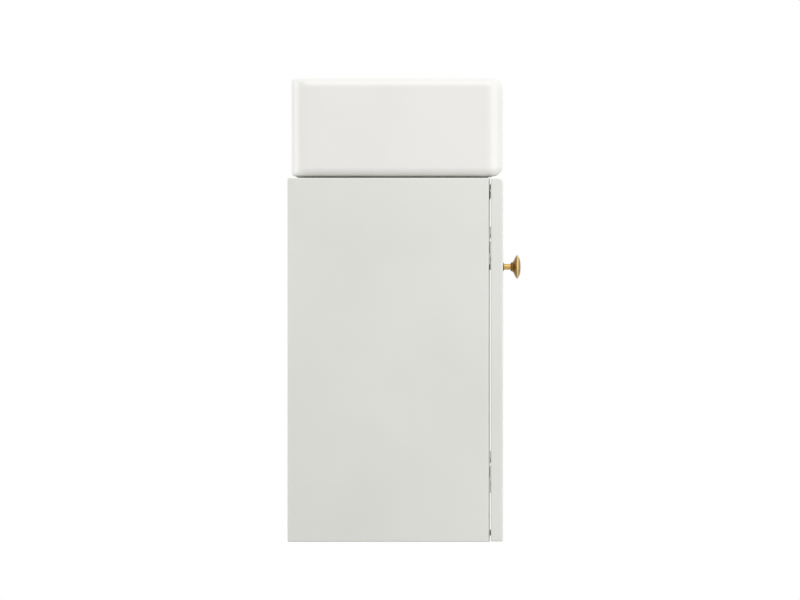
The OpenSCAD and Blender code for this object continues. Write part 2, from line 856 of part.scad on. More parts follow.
module bottom_panel() {
    color("gainsboro") difference() {
        box([-inner_x, front_y, bottom_z], [inner_x, board_rear_y, floor_z]);
        back_slot(floor_z - groove_d, floor_z + past);
        both_sides() board_end_bores(bottom_z);
    }
}

// Rail on edge behind the back panel, which stiffens the top of the cabinet
module rear_rail() {
    color("gainsboro") difference() {
        box([-inner_x, -void_d, rail_z], [inner_x, -void_d + panel_t, under_top_z]);
        both_sides()
            for (z = rail_dowel_zs)
                bar_x(bore(dowel_d), dowel_x - blind_gap, inner_x + past, [rail_y, z]);
    }
}

// Back panel with the pipe opening and a slot for each hook
module back_panel() {
    held = groove_d - 2 * groove_fit;
    slot_x = hook_t / 2 + hook_slot;
    color("whitesmoke") difference() {
        box([-inner_x - held, back_y, floor_z - held], [inner_x + held, -void_d, under_top_z + held]);
        translate([0, past - void_d, 0]) rotate([90, 0, 0]) linear_extrude(back_t + 2 * past)
            round_rectangle(pipe_x, -pipe_drop - pipe_h, -pipe_drop, pipe_r);
        both_sides()
            box([hook_x - slot_x, back_y - past, ledge_z - hook_slot],
                [hook_x + slot_x, past - void_d, hook_top_z + hook_slot]);
    }
}

// Shelf with a notch at the rear for the trap
module shelf() {
    x = inner_x - shelf_fit;
    color("gainsboro") difference() {
        box([-x, front_y + shelf_set, shelf_z], [x, shelf_rear_y, shelf_z + panel_t]);
        translate([0, 0, shelf_z - past]) linear_extrude(panel_t + 2 * past)
            round_rectangle(notch_w / 2, shelf_rear_y - notch_d, shelf_rear_y + 2 * pipe_r, pipe_r);
    }
}

// Four plated shelf pins, each with a collar against the side panel
module shelf_pins() {
    color("silver") both_sides()
        for (y = pin_ys) {
            bar_x(pin_d, inner_x - pin_reach, inner_x + pin_depth, [y, pin_z]);
            difference() {
                bar_x(collar_d, inner_x - collar_t, inner_x, [y, pin_z]);
                box([inner_x - collar_t - past, y - collar_d, shelf_z],
                    [inner_x + past, y + collar_d, shelf_z + collar_d]);
            }
        }
}

// Beech dowels between the boards and the sides
module dowels() {
    color("burlywood") both_sides() {
        for (z = board_zs, y = dowel_ys)
            bar_x(dowel_d, dowel_x, inner_x + dowel_in, [y, z + panel_t / 2]);
        for (z = rail_dowel_zs)
            bar_x(dowel_d, dowel_x, inner_x + dowel_in, [rail_y, z]);
    }
}

// Zinc cams in the undersides of the top and bottom panels
module cam_locks() {
    color("silver") both_sides()
        for (z = board_zs, y = cam_ys)
            difference() {
                bar_z(cam_d, z, z + cam_h, [cam_x, y]);
                bar_x(bolt_d + 1, cam_x - past, cam_x + cam_d, [y, z + panel_t / 2]);
                translate([cam_x, y, z]) mirror([0, 0, 1]) cross_recess(cam_d * 0.6);
            }
}

// Steel bolts that the cams draw in
module cam_bolts() {
    color("silver") both_sides()
        for (z = board_zs, y = cam_ys) {
            at = [y, z + panel_t / 2];
            bar_x(bolt_d, cam_x, cam_x + bolt_neck, at);
            bar_x(bolt_d / 2, cam_x + bolt_neck - past, cam_x + 2 * bolt_neck + past, at);
            bar_x(bolt_d, cam_x + 2 * bolt_neck, inner_x + bolt_in, at);
        }
}

// The two countersunk seats of a hinge cup, in its wings and a little way into the door
module cup_screw_seats(z) {
    for (dz = cup_screw_zs)
        translate([cup_screw_x, cup_rim_y, z + dz]) rotate([-90, 0, 0])
            flat_seat(cup_screw_head, cup_screw_d);
}

// Door blank: every edge is rounded, and the outer top edge has a larger radius of its own
module door_blank() {
    lo = [-door_edge_x, door_out_y, door_bottom_z];
    hi = [door_edge_x, door_in_y, door_top_z];
    hull() {
        slab(lo, hi - [0, 0, door_top_r], edge_r);
        slab([lo[0], lo[1] + door_top_r, hi[2] - 2 * door_top_r], hi, edge_r);
        for (t = [0:22.5:90])
            bar_x(2 * (door_top_r - edge_r * (1 - sin(t))), lo[0] + edge_r * (1 - cos(t)),
                  hi[0] - edge_r * (1 - cos(t)), [door_out_y + door_top_r, door_top_z - door_top_r]);
    }
}

// Lacquered door with its hinge cups, screw holes and knob hole
module door() {
    color("lightgray") difference() {
        door_blank();
        for (z = hinge_zs) {
            bar_y(cup_d, door_in_y - cup_depth, door_in_y + past, [cup_x, z]);
            cup_screw_seats(z);
            for (dz = cup_screw_zs)
                bar_y(bore(cup_screw_d), cup_rim_y - cup_screw_l - blind_gap, door_in_y + past,
                      [cup_screw_x, z + dz]);
        }
        bar_y(bore(knob_screw_d) + run_fit, door_out_y - past, door_in_y + past, knob_at);
        bar_y(bore(catch_screw_d), door_in_y + strike_t - catch_screw_l - blind_gap, door_in_y + past,
              [catch_x, catch_z]);
    }
}

// Outline of the turned knob from the door outwards: base, stem, rounded collar, bell and shallow dome
function knob_outline() =
    let (
        rim = knob_d / 2,
        stem = stem_d / 2,
        base = stem + 1.7,
        base_t = 0.8,
        collar = stem + 2.4,
        collar_y = stem_l + 2.2,
        dome_h = 3.8,
        dome_r = rim - 0.5,
        rim_y = knob_reach - dome_h - 1,
        round = [for (t = [0:30:90])
            [collar - (collar - stem) * (1 - sin(t)), collar_y - (collar_y - stem_l) * cos(t)]],
        bell = [for (t = [0.1:0.1:1])
            [collar + (rim - collar) * (1 - cos(180 * t)) / 2, collar_y + (rim_y - collar_y) * t]],
        dome = [for (t = [1:-0.125:0]) [dome_r * t, knob_reach - dome_h * t * t]]
    )
    concat([[0, 0], [base, 0], [base, base_t], [stem, 2 * base_t]], round, bell,
           [[rim - 0.1, rim_y + 0.5]], dome);

// Turned brass knob, tapped for its screw
module knob() {
    color("goldenrod") difference() {
        translate([knob_at[0], door_out_y, knob_at[1]]) rotate([90, 0, 0]) rotate_extrude()
            polygon(knob_outline());
        bar_y(bore(knob_screw_d), door_out_y - knob_bore_l, door_out_y + past, knob_at);
    }
}

// Screw that holds the knob from inside the door
module knob_screw() {
    color("silver") translate([knob_at[0], door_in_y, knob_at[1]]) rotate([-90, 0, 0])
        pan_screw(knob_screw_head, knob_screw_head_h, knob_screw_d, knob_screw_l);
}

// Soft bumpers on the door's free edge, which meet the side panel
module door_bumpers() {
    color("white")
        for (z = bumper_zs)
            translate([bumper_at_x, door_in_y, z]) rotate([-90, 0, 0])
                cylinder(d1 = bumper_d, d2 = bumper_d - 2, h = bumper_t);
}

// Pressed steel cup with its rim, wings and the two lugs that hold the pin
module hinge_cup(z) {
    at = [cup_x, z];
    color("silver") difference() {
        union() {
            difference() {
                bar_y(2 * (cup_r - cup_fit), cup_floor_y, cup_rim_y, at);
                bar_y(2 * cup_inner_r, cup_floor_y + cup_wall, cup_rim_y + past, at);
            }
            difference() {
                union() {
                    intersection() {
                        bar_y(cup_d + 2 * cup_rim_w, door_in_y, cup_rim_y, at);
                        box([cup_x - cup_r + cup_fit, door_in_y - past, z - cup_d],
                            [cup_x + cup_d, cup_rim_y + past, z + cup_d]);
                    }
                    box([cup_screw_x - cup_wing, door_in_y, z + cup_screw_zs[0] - cup_wing],
                        [cup_screw_x + cup_wing, cup_rim_y, z + cup_screw_zs[1] + cup_wing]);
                }
                bar_y(2 * cup_inner_r, door_in_y - past, cup_rim_y + past, at);
            }
            intersection() {
                bar_y(2 * cup_inner_r + cup_wall, cup_floor_y + cup_wall / 2, cup_rim_y, at);
                for (s = [-1, 1])
                    translate([pivot_x, 0, z + s * (neck_w / 2 + lug_gap + lug_t / 2)])
                        box([-cup_r, cup_floor_y, -lug_t / 2], [eye_r + bore_fit, pivot_y + eye_r, lug_t / 2]);
            }
        }
        bar_z(bore(hinge_pin_d) - bore_fit, z - pin_half, z + pin_half, [pivot_x, pivot_y]);
        cup_screw_seats(z);
    }
}

// Steel pin that the door turns on
module hinge_pin(z) {
    color("silver") bar_z(hinge_pin_d, z - pin_half + bore_fit, z + pin_half - bore_fit, [pivot_x, pivot_y]);
}

// Goosenecked arm: an eye on the pin, a run along the cup's floor, a leg out of the cup and a channel
module hinge_arm(z) {
    out_x = leg_x + arm_t;
    bend = arm_t / 2;
    color("silver") difference() {
        union() {
            bar_z(2 * eye_r, z - neck_w / 2, z + neck_w / 2, [pivot_x, pivot_y]);
            box([pivot_x, leg_low_y, z - neck_w / 2], [out_x, leg_low_y + arm_t, z + neck_w / 2]);
            translate([0, 0, z - arm_w / 2]) linear_extrude(arm_w) polygon([
                [leg_x, leg_low_y], [out_x, leg_low_y], [out_x, bend_y - bend],
                [web_x + arm_t, web_y - bend], [web_x + arm_t, arm_end_y],
                [web_x, arm_end_y], [web_x, web_y], [leg_x, bend_y]
            ]);
            for (s = [-1, 1])
                translate([0, 0, z + s * (arm_w - arm_t) / 2])
                    box([web_x - cheek_h, web_y + arm_t, -arm_t / 2], [web_x + arm_t, arm_end_y, arm_t / 2]);
        }
        bar_z(bore(hinge_pin_d), z - neck_w, z + neck_w, [pivot_x, pivot_y]);
        for (y = arm_screw_ys)
            bar_x(bore(arm_screw_d), web_x - past, web_x + arm_t + past, [y, z]);
    }
}

// Zinc mounting plate: a ridge under the arm and two wings that are screwed to the side panel
module hinge_plate(z) {
    color("silver") difference() {
        union() {
            box([-inner_x, plate_y - wing_y, z - wing_z], [wing_t - inner_x, plate_y + wing_y, z + wing_z]);
            box([-inner_x, web_y + 1, z - ridge_z], [web_x - bore_fit, arm_end_y, z + ridge_z]);
        }
        for (y = arm_screw_ys)
            bar_x(bore(arm_screw_d), blind_gap - inner_x, web_x, [y, z]);
        for (s = [-1, 1])
            translate([wing_t - inner_x, plate_y, z + s * plate_pitch / 2]) rotate([0, 90, 0]) {
                flat_seat(plate_screw_head, plate_screw_d);
                translate([0, 0, -wing_t - past]) cylinder(d = bore(plate_screw_d), h = wing_t + past);
            }
    }
}

module hinge_cup_upper() { hinge_cup(hinge_zs[0]); }
module hinge_cup_lower() { hinge_cup(hinge_zs[1]); }
module hinge_pin_upper() { hinge_pin(hinge_zs[0]); }
module hinge_pin_lower() { hinge_pin(hinge_zs[1]); }
module hinge_arm_upper() { hinge_arm(hinge_zs[0]); }
module hinge_arm_lower() { hinge_arm(hinge_zs[1]); }
module hinge_plate_upper() { hinge_plate(hinge_zs[0]); }
module hinge_plate_lower() { hinge_plate(hinge_zs[1]); }

// Screws through the cups' wings into the door
module cup_screws() {
    color("silver")
        for (z = hinge_zs, dz = cup_screw_zs)
            translate([cup_screw_x, cup_rim_y, z + dz]) rotate([-90, 0, 0])
                flat_screw(cup_screw_head, cup_screw_d, cup_screw_l);
}

// Screws through the plates' wings into the side panel
module plate_screws() {
    color("silver")
        for (z = hinge_zs, s = [-1, 1])
            translate([wing_t - inner_x, plate_y, z + s * plate_pitch / 2]) rotate([0, 90, 0])
                flat_screw(plate_screw_head, plate_screw_d, plate_screw_l);
}

// Fixing and adjusting screws of the arms, set once when the door is hung
module arm_screws() {
    color("silver")
        for (z = hinge_zs, y = arm_screw_ys)
            translate([web_x + arm_t, y, z]) rotate([0, 90, 0])
                pan_screw(arm_screw_head, arm_screw_head_h, arm_screw_d, arm_screw_l);
}

// Catch housing under the top panel, with a pocket for the magnet and an ear at each end
module catch_body() {
    color("white") difference() {
        union() {
            box([catch_x - catch_core, catch_front_y, under_top_z - catch_h],
                [catch_x + catch_core, catch_front_y + catch_d, under_top_z]);
            box([catch_x - catch_w / 2, catch_ear_ys[0], under_top_z - catch_ear_t],
                [catch_x + catch_w / 2, catch_ear_ys[1], under_top_z]);
        }
        box([catch_x - catch_core + catch_wall, catch_front_y - past, catch_z - magnet_h / 2],
            [catch_x + catch_core - catch_wall, catch_front_y + magnet_d, catch_z + magnet_h / 2]);
        for (x = catch_screw_xs)
            bar_z(bore(catch_screw_d), under_top_z - catch_ear_t - past, under_top_z + past,
                  [x, catch_screw_y]);
    }
}

// Magnet between two steel poles, at the mouth of the catch
module catch_magnet() {
    x = catch_core - catch_wall - bore_fit;
    pole = magnet_h / 2 - bore_fit;
    color("gray") difference() {
        box([catch_x - x, catch_front_y, catch_z - pole],
            [catch_x + x, catch_front_y + magnet_d, catch_z + pole]);
        box([catch_x - x - past, catch_front_y - past, catch_z - pole + pole_t],
            [catch_x + x + past, catch_front_y + past, catch_z + pole - pole_t]);
    }
}

// Steel plate on the door that the magnet holds
module catch_strike() {
    color("silver") difference() {
        box([catch_x - strike_w / 2, door_in_y, catch_z - strike_h / 2],
            [catch_x + strike_w / 2, door_in_y + strike_t, catch_z + strike_h / 2]);
        bar_y(bore(catch_screw_d), door_in_y - past, door_in_y + strike_t + past, [catch_x, catch_z]);
        translate([catch_x, door_in_y + strike_t, catch_z]) rotate([-90, 0, 0])
            flat_seat(catch_screw_head, catch_screw_d);
    }
}

// Screws of the catch in the top panel
module catch_screws() {
    color("silver")
        for (x = catch_screw_xs)
            translate([x, catch_screw_y, under_top_z - catch_ear_t]) rotate([180, 0, 0])
                pan_screw(catch_screw_head, 2, catch_screw_d, catch_screw_l);
}

// Screw of the strike plate in the door
module strike_screw() {
    color("silver") translate([catch_x, door_in_y + strike_t, catch_z]) rotate([-90, 0, 0])
        flat_screw(catch_screw_head, catch_screw_d, catch_screw_l);
}

// Plastic housing of a cabinet hanger, pegged into the side panel and open at the back for its hook
module hanger_housing_right() {
    x0 = inner_x - hanger_w;
    slot = hook_t / 2 + bore_fit;
    wall = 6;
    recess = 3;
    color("white") difference() {
        union() {
            box([x0, hanger_front_y, hanger_bottom_z], [inner_x, back_y, hanger_top_z]);
            for (z = peg_zs)
                bar_x(peg_d, inner_x - past, inner_x + peg_l, [peg_y, z]);
        }
        box([hook_x - slot, hanger_front_y + wall, hook_tip_z],
            [hook_x + slot, back_y + past, hook_top_z + bore_fit]);
        for (z = hanger_screw_zs)
            bar_y(bore(hanger_screw_d), hanger_front_y - past, hanger_front_y + hanger_screw_l + blind_gap / 2,
                  [hook_x, z]);
        box([x0 - past, hanger_front_y - past, peg_zs[0] + peg_d],
            [x0 + recess, back_y - wall, peg_zs[1] - peg_d / 2]);
    }
}

module hanger_housing_left() { mirror([1, 0, 0]) hanger_housing_right(); }

// Steel hook that reaches through the back panel and over the wall plate's edge
module hanger_hook_right() {
    root_y = hanger_front_y + 7;
    root_z = hook_tip_z + 1;
    chamfer = 3;
    color("silver") translate([hook_x - hook_t / 2, 0, 0]) rotate([90, 0, 90]) linear_extrude(hook_t) polygon([
        [root_y, hook_top_z], [root_y, root_z], [back_y - 2 * chamfer, root_z], [back_y - chamfer / 2, ledge_z],
        [hook_tip_y - hook_tip_d, ledge_z], [hook_tip_y - hook_tip_d, hook_tip_z + chamfer],
        [hook_tip_y, hook_tip_z], [hook_tip_y, hook_top_z - chamfer], [hook_tip_y - chamfer, hook_top_z]
    ]);
}

module hanger_hook_left() { mirror([1, 0, 0]) hanger_hook_right(); }

// Height and depth screws on the fronts of the hangers
module hanger_screws() {
    color("silver") both_sides()
        for (z = hanger_screw_zs)
            translate([hook_x, hanger_front_y, z]) rotate([90, 0, 0])
                pan_screw(hanger_screw_head, 1.5, hanger_screw_d, hanger_screw_l);
}

// Steel plate that is screwed to the wall, with its top edge turned out for the hook
module wall_plate_right() {
    edge_y = -ledge_y - plate_t;
    bend = plate_t / 2;
    color("lightsteelblue") difference() {
        translate([plate_x - plate_w / 2, 0, 0]) rotate([90, 0, 90]) linear_extrude(plate_w) polygon([
            [0, plate_foot_z], [0, plate_top_z], [-ledge_y, plate_top_z + ledge_y], [-ledge_y, ledge_z],
            [edge_y, ledge_z], [edge_y, plate_top_z + ledge_y - bend], [-plate_t, plate_top_z - bend],
            [-plate_t, plate_foot_z]
        ]);
        for (s = [-1, 1])
            bar_y(plate_hole_d, -plate_t - past, past, [plate_x, s * plate_holes / 2]);
    }
}

module wall_plate_left() { mirror([1, 0, 0]) wall_plate_right(); }

basin();
basin_sealant();
overflow_ring();
waste_body();
waste_gasket();
waste_washer();
waste_nut();
waste_plug();
plug_seal();
side_panel_left();
side_panel_right();
top_panel();
bottom_panel();
rear_rail();
back_panel();
shelf();
shelf_pins();
dowels();
cam_locks();
cam_bolts();
door();
knob();
knob_screw();
door_bumpers();
hinge_cup_upper();
hinge_cup_lower();
hinge_pin_upper();
hinge_pin_lower();
hinge_arm_upper();
hinge_arm_lower();
hinge_plate_upper();
hinge_plate_lower();
cup_screws();
plate_screws();
arm_screws();
catch_body();
catch_magnet();
catch_strike();
catch_screws();
strike_screw();
hanger_housing_left();
hanger_housing_right();
hanger_hook_left();
hanger_hook_right();
hanger_screws();
wall_plate_left();
wall_plate_right();
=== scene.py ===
# Wall-hung vanity unit: how each piece looks, with one section for each piece or group of like pieces.
# Metres. +X is right as seen from the front, the front faces -Y, +Z is up, and the wall is y = 0.
import math

import bmesh
import bpy
from mathutils import Matrix, Vector


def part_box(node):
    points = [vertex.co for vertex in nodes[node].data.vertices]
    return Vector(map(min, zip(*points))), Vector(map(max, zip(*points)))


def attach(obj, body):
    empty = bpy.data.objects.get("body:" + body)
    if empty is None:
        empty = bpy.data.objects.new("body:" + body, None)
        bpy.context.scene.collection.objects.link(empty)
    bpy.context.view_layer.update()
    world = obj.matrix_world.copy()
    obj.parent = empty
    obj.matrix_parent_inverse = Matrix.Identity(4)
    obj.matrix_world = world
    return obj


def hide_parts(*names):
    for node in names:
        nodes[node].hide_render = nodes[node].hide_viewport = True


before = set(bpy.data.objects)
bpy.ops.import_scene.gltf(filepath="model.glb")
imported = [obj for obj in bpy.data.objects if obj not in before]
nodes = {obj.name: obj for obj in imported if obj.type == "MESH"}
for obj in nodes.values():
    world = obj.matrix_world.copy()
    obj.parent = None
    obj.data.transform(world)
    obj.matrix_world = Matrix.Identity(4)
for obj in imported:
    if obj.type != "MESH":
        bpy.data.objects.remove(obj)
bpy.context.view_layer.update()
MM = 0.001

# Camera
# A side elevation from the unit's left without perspective, in which a pixel is 1.36 mm wide.
# It stands an eighth of a degree towards the front, so that less daylight shows in the slit beside the door.
PIXEL = 1.36 * MM
PICTURE_PIXELS = 800
PICTURE_MIDDLE = Vector((-200 * MM, -153.1 * MM, -36.1 * MM))
CAMERA_TURN = math.radians(0.13)
CAMERA_AWAY = 3.0

scene = bpy.context.scene
scene.view_settings.view_transform = "Standard"
lens = bpy.data.cameras.new("camera")
lens.type = "ORTHO"
lens.ortho_scale = PICTURE_PIXELS * PIXEL


def new_object(name, data):
    """Object that is linked to the scene."""
    made = bpy.data.objects.new(name, data)
    scene.collection.objects.link(made)
    return made


camera = new_object("camera", lens)
sight = Vector((math.cos(CAMERA_TURN), math.sin(CAMERA_TURN), 0))
camera.location = PICTURE_MIDDLE - CAMERA_AWAY * sight
camera.rotation_euler = (math.radians(90), 0, math.radians(-90) + CAMERA_TURN)
scene.camera = camera


# Studio
# A white room with a pale floor, as far below as a floor is under a basin with its rim at 850 mm.
# Two tall soft boxes beside the camera give the glaze's corners a bright band each; one more hangs overhead.
FLOOR_Z = -585 * MM
FLOOR_SIZE = 12.0
ROOM_LIGHT = 0.885
SHADOW_SHARE = 0.45


def add_node(tree, kind, inputs=None, **settings):
    """Adds a node with its settings, its typed values and its links; a node stands for its first output."""
    node = tree.nodes.new(kind)
    for name, value in settings.items():
        setattr(node, name, value)
    for socket, value in (inputs or {}).items():
        if isinstance(value, bpy.types.Node):
            value = value.outputs[0]
        if isinstance(value, bpy.types.NodeSocket):
            tree.links.new(value, node.inputs[socket])
        else:
            node.inputs[socket].default_value = value
    return node


def linear(colour):
    """Linear RGBA of an sRGB hex colour."""
    parts = [int(colour[i : i + 2], 16) / 255 for i in (1, 3, 5)]
    return [c / 12.92 if c <= 0.04045 else ((c + 0.055) / 1.055) ** 2.4 for c in parts] + [1.0]


def seen_directly(tree):
    """1 for rays that show the room itself, straight or in a mirror, and 0 for rays that light the object."""
    path = add_node(tree, "ShaderNodeLightPath")
    mirrored = add_node(tree, "ShaderNodeMath", {
        0: path.outputs["Is Glossy Ray"], 1: path.outputs["Is Transmission Ray"],
    }, operation="MAXIMUM")
    return add_node(tree, "ShaderNodeMath", {
        0: path.outputs["Is Camera Ray"], 1: mirrored,
    }, operation="MAXIMUM")


room = bpy.data.worlds.new("room")
scene.world = room
room.use_nodes = True
room.node_tree.nodes.clear()
level = add_node(room.node_tree, "ShaderNodeMapRange", {
    "Value": seen_directly(room.node_tree), "To Min": ROOM_LIGHT, "To Max": 1.0,
})
room_light = add_node(room.node_tree, "ShaderNodeBackground", {"Color": linear("#FFFFFF"), "Strength": level})
add_node(room.node_tree, "ShaderNodeOutputWorld", {"Surface": room_light})

floor_paint = bpy.data.materials.new("floor_paint")
floor_paint.use_nodes = True
floor_tree = floor_paint.node_tree
floor_tree.nodes.clear()
lit_floor = add_node(floor_tree, "ShaderNodeBsdfDiffuse", {"Color": linear("#C4C4C2")})
white_floor = add_node(floor_tree, "ShaderNodeEmission", {"Color": linear("#FFFFFF"), "Strength": 1.0})
floor_seen = add_node(floor_tree, "ShaderNodeMath", {
    0: seen_directly(floor_tree), 1: 1 - SHADOW_SHARE,
}, operation="MULTIPLY")
pale_floor = add_node(floor_tree, "ShaderNodeMixShader", {0: floor_seen, 1: lit_floor, 2: white_floor})
side_seen = add_node(floor_tree, "ShaderNodeNewGeometry")
open_below = add_node(floor_tree, "ShaderNodeBsdfTransparent")
one_sided = add_node(floor_tree, "ShaderNodeMixShader", {
    0: side_seen.outputs["Backfacing"], 1: pale_floor, 2: open_below,
})
add_node(floor_tree, "ShaderNodeOutputMaterial", {"Surface": one_sided})

floor_mesh = bpy.data.meshes.new("floor")
half = FLOOR_SIZE / 2
floor_mesh.from_pydata(
    [(-half, -half, FLOOR_Z), (half, -half, FLOOR_Z), (half, half, FLOOR_Z), (-half, half, FLOOR_Z)],
    [], [(0, 1, 2, 3)],
)
floor_mesh.materials.append(floor_paint)
floor = new_object("floor", floor_mesh)


def soft_box(name, away, distance, width, height, brightness):
    """Soft box that faces the unit; a brightness of 1 is as bright as the white room."""
    light = bpy.data.lights.new(name, "AREA")
    light.shape = "RECTANGLE"
    light.size, light.size_y = width, height
    light.energy = brightness * math.pi * width * height
    lamp = new_object(name, light)
    direction = Vector(away).normalized()
    lamp.location = Vector((0, PICTURE_MIDDLE.y, PICTURE_MIDDLE.z)) + direction * distance
    lamp.rotation_euler = direction.to_track_quat("Z", "Y").to_euler()
    lamp.visible_camera = False


soft_box("box_wall_side", (-0.113, 0.994, 0.0), 1.4, 0.88, 1.7, 1.4)
soft_box("box_front_side", (-0.507, -0.862, 0.0), 1.5, 1.2, 1.7, 1.15)
soft_box("box_overhead", (-0.6, -0.1, 0.8), 1.7, 1.6, 1.3, 1.0)


# Side panels
# Fibreboard of medium density, sprayed white and rubbed to a satin. Grooves and bores show the brown core.
# They stand on nothing: cams and dowels hold the other boards between them.
LACQUER_RGB = "#DFE0DB"
LACQUER_DARK_RGB = "#DADBD5"
FIBRE_RGB = "#A98459"
FIBRE_DARK_RGB = "#8C6940"
# The part of a noise's range over which a tint turns from dark to light, where most of it is to be light
MOSTLY_LIGHT = (0.2, 0.6)
WELD = 0.002 * MM
FLAT_ANGLE = math.radians(0.5)
SMOOTH_ANGLE = math.radians(35)


def start_material(name, values):
    """Material with one Principled shader, whose constant values stand on its own sockets."""
    material = bpy.data.materials.new(name)
    material.use_nodes = True
    tree = material.node_tree
    tree.nodes.clear()
    shader = add_node(tree, "ShaderNodeBsdfPrincipled", values)
    add_node(tree, "ShaderNodeOutputMaterial", {"Surface": shader})
    return material, tree, shader


def noise(tree, size_mm, detail=2.0, stretch=(1, 1, 1)):
    """Noise on the piece's own coordinates, with features of about the given size."""
    place = add_node(tree, "ShaderNodeTexCoord")
    turn = add_node(tree, "ShaderNodeMapping", {"Vector": place.outputs["Object"], "Scale": stretch})
    return add_node(tree, "ShaderNodeTexNoise", {
        "Vector": turn, "Scale": 1 / (size_mm * MM), "Detail": detail,
    })


def tint(tree, shader, pattern, low, high, start=0.35, end=0.65):
    """Colours the shader between two sRGB colours after a pattern."""
    share = add_node(tree, "ShaderNodeMapRange", {"Value": pattern, "From Min": start, "From Max": end})
    mix = add_node(tree, "ShaderNodeMix", {0: share, 6: linear(low), 7: linear(high)}, data_type="RGBA")
    tree.links.new(mix.outputs[2], shader.inputs["Base Color"])


def roughen(tree, shader, pattern, smooth, rough):
    """Gives the shader a roughness between two values after a pattern."""
    share = add_node(tree, "ShaderNodeMapRange", {
        "Value": pattern, "From Min": 0.3, "From Max": 0.7, "To Min": smooth, "To Max": rough,
    })
    tree.links.new(share.outputs["Result"], shader.inputs["Roughness"])


def emboss(tree, shader, pattern, height_mm, strength):
    """Raises the surface by a height in millimetres after a pattern."""
    bump = add_node(tree, "ShaderNodeBump", {
        "Height": pattern, "Strength": strength, "Distance": height_mm * MM,
    })
    tree.links.new(bump.outputs[0], shader.inputs["Normal"])


def make_material(name, values, tones, gloss, relief, reach=()):
    """Material of two colours, two roughnesses, and a relief's height in millimetres with its strength.

    Each of the three ends in the noise it follows: its features' size in millimetres, detail and stretch.
    """
    material, tree, shader = start_material(name, values)
    tint(tree, shader, noise(tree, *tones[2:]), *tones[:2], *reach)
    roughen(tree, shader, noise(tree, *gloss[2:]), *gloss[:2])
    emboss(tree, shader, noise(tree, *relief[2:]), *relief[:2])
    return material


# Satin lacquer: the spray leaves a faint orange peel, drawn at 5 mm because the real 1 mm is too fine to show
satin_lacquer = make_material(
    "satin_lacquer", {"IOR": 1.5},
    (LACQUER_DARK_RGB, LACQUER_RGB, 160), (0.33, 0.37, 35), (0.008, 0.5, 5), MOSTLY_LIGHT,
)

# Raw fibreboard: pressed brown fibre, fuzzy and matt where a tool has cut it
raw_fibreboard = make_material(
    "raw_fibreboard", {"IOR": 1.45}, (FIBRE_DARK_RGB, FIBRE_RGB, 1.2, 4), (0.75, 0.95, 2), (0.08, 0.6, 0.8, 4)
)


def whole_faces(name):
    """Mesh of a CAD node's copy, with its loose triangles merged into whole flat faces."""
    mesh = bmesh.new()
    mesh.from_mesh(nodes[name].data)
    bmesh.ops.remove_doubles(mesh, verts=mesh.verts, dist=WELD)
    bmesh.ops.dissolve_limit(mesh, angle_limit=FLAT_ANGLE, verts=mesh.verts, edges=mesh.edges)
    return mesh


def round_edges(mesh, width_mm, steps=2, over=40):
    """Rounds every edge whose faces meet at more than an angle."""
    sharp = [e for e in mesh.edges if len(e.link_faces) == 2 and e.calc_face_angle() > math.radians(over)]
    if sharp:
        bmesh.ops.bevel(
            mesh, geom=sharp, offset=width_mm * MM, offset_type="OFFSET", segments=steps,
            profile=0.5, affect="EDGES", clamp_overlap=True,
        )
    return mesh


def as_data(name, mesh):
    """Mesh data of a name, from an editable mesh, which is freed, or from other mesh data."""
    if isinstance(mesh, bmesh.types.BMesh):
        data = bpy.data.meshes.new(name)
        mesh.to_mesh(data)
        mesh.free()
        return data
    mesh.name = name
    return mesh


def add_piece(name, mesh, materials, body, slot, *replaced):
    """Makes a finished piece of a mesh: its materials, body and the CAD nodes it stands for; its finish, the
    slot, is not used.
    """
    data = as_data(name, mesh)
    data.materials.clear()
    for material in materials:
        data.materials.append(material)
    data.shade_smooth()
    data.set_sharp_from_angle(angle=SMOOTH_ANGLE)
    piece = new_object(name, data)
    weights = piece.modifiers.new("even_normals", "WEIGHTED_NORMAL")
    weights.keep_sharp = True
    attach(piece, body)
    if replaced:
        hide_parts(*replaced)
    return piece


def paint_cut_faces(mesh, low, high, skin_mm=1.7):
    """Gives the second material to faces inside a board's skin, where a tool has cut it."""
    skin = Vector([skin_mm * MM] * 3)
    inside_low, inside_high = low + skin, high - skin
    for face in mesh.faces:
        centre = face.calc_center_median()
        if all(inside_low[i] < centre[i] < inside_high[i] for i in range(3)):
            face.material_index = 1


for side in ("left", "right"):
    panel = f"side_panel_{side}"
    board = whole_faces(panel)
    paint_cut_faces(board, *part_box(panel))
    add_piece(f"lacquered_side_{side}", board, [satin_lacquer, raw_fibreboard], "cabinet", "lacquer", panel)


# Boards between the sides
# Chipboard faced with white melamine. Front edges are banded; cut-outs, bores and hidden edges are raw.
# The back panel is a thinner board of the same kind that slides into grooves; the shelf lies on four pins.
MELAMINE_RGB = "#E4E3DE"
MELAMINE_DARK_RGB = "#DDDCD6"
BAND_RGB = "#E2E1DC"
CHIP_RGB = "#CDAE80"
CHIP_DARK_RGB = "#94713F"
BANDED_MM, BOARD_EASE, BOARD_EASE_OVER = 0.6, 0.35, 60

# Melamine facing: printed white with a fine pearl grain, duller than the lacquer
melamine = make_material(
    "melamine", {"IOR": 1.5},
    (MELAMINE_DARK_RGB, MELAMINE_RGB, 90), (0.42, 0.55, 12), (0.03, 0.5, 1.6, 3), MOSTLY_LIGHT,
)

# Edge band: extruded white plastic, a little glossier than the facing, with faint lines along its length
edge_band, tree, shader = start_material("edge_band", {"IOR": 1.5, "Base Color": linear(BAND_RGB)})
roughen(tree, shader, noise(tree, 8, 2, (0.1, 1, 1)), 0.3, 0.42)
emboss(tree, shader, noise(tree, 1.0, 2, (0.05, 1, 1)), 0.02, 0.4)

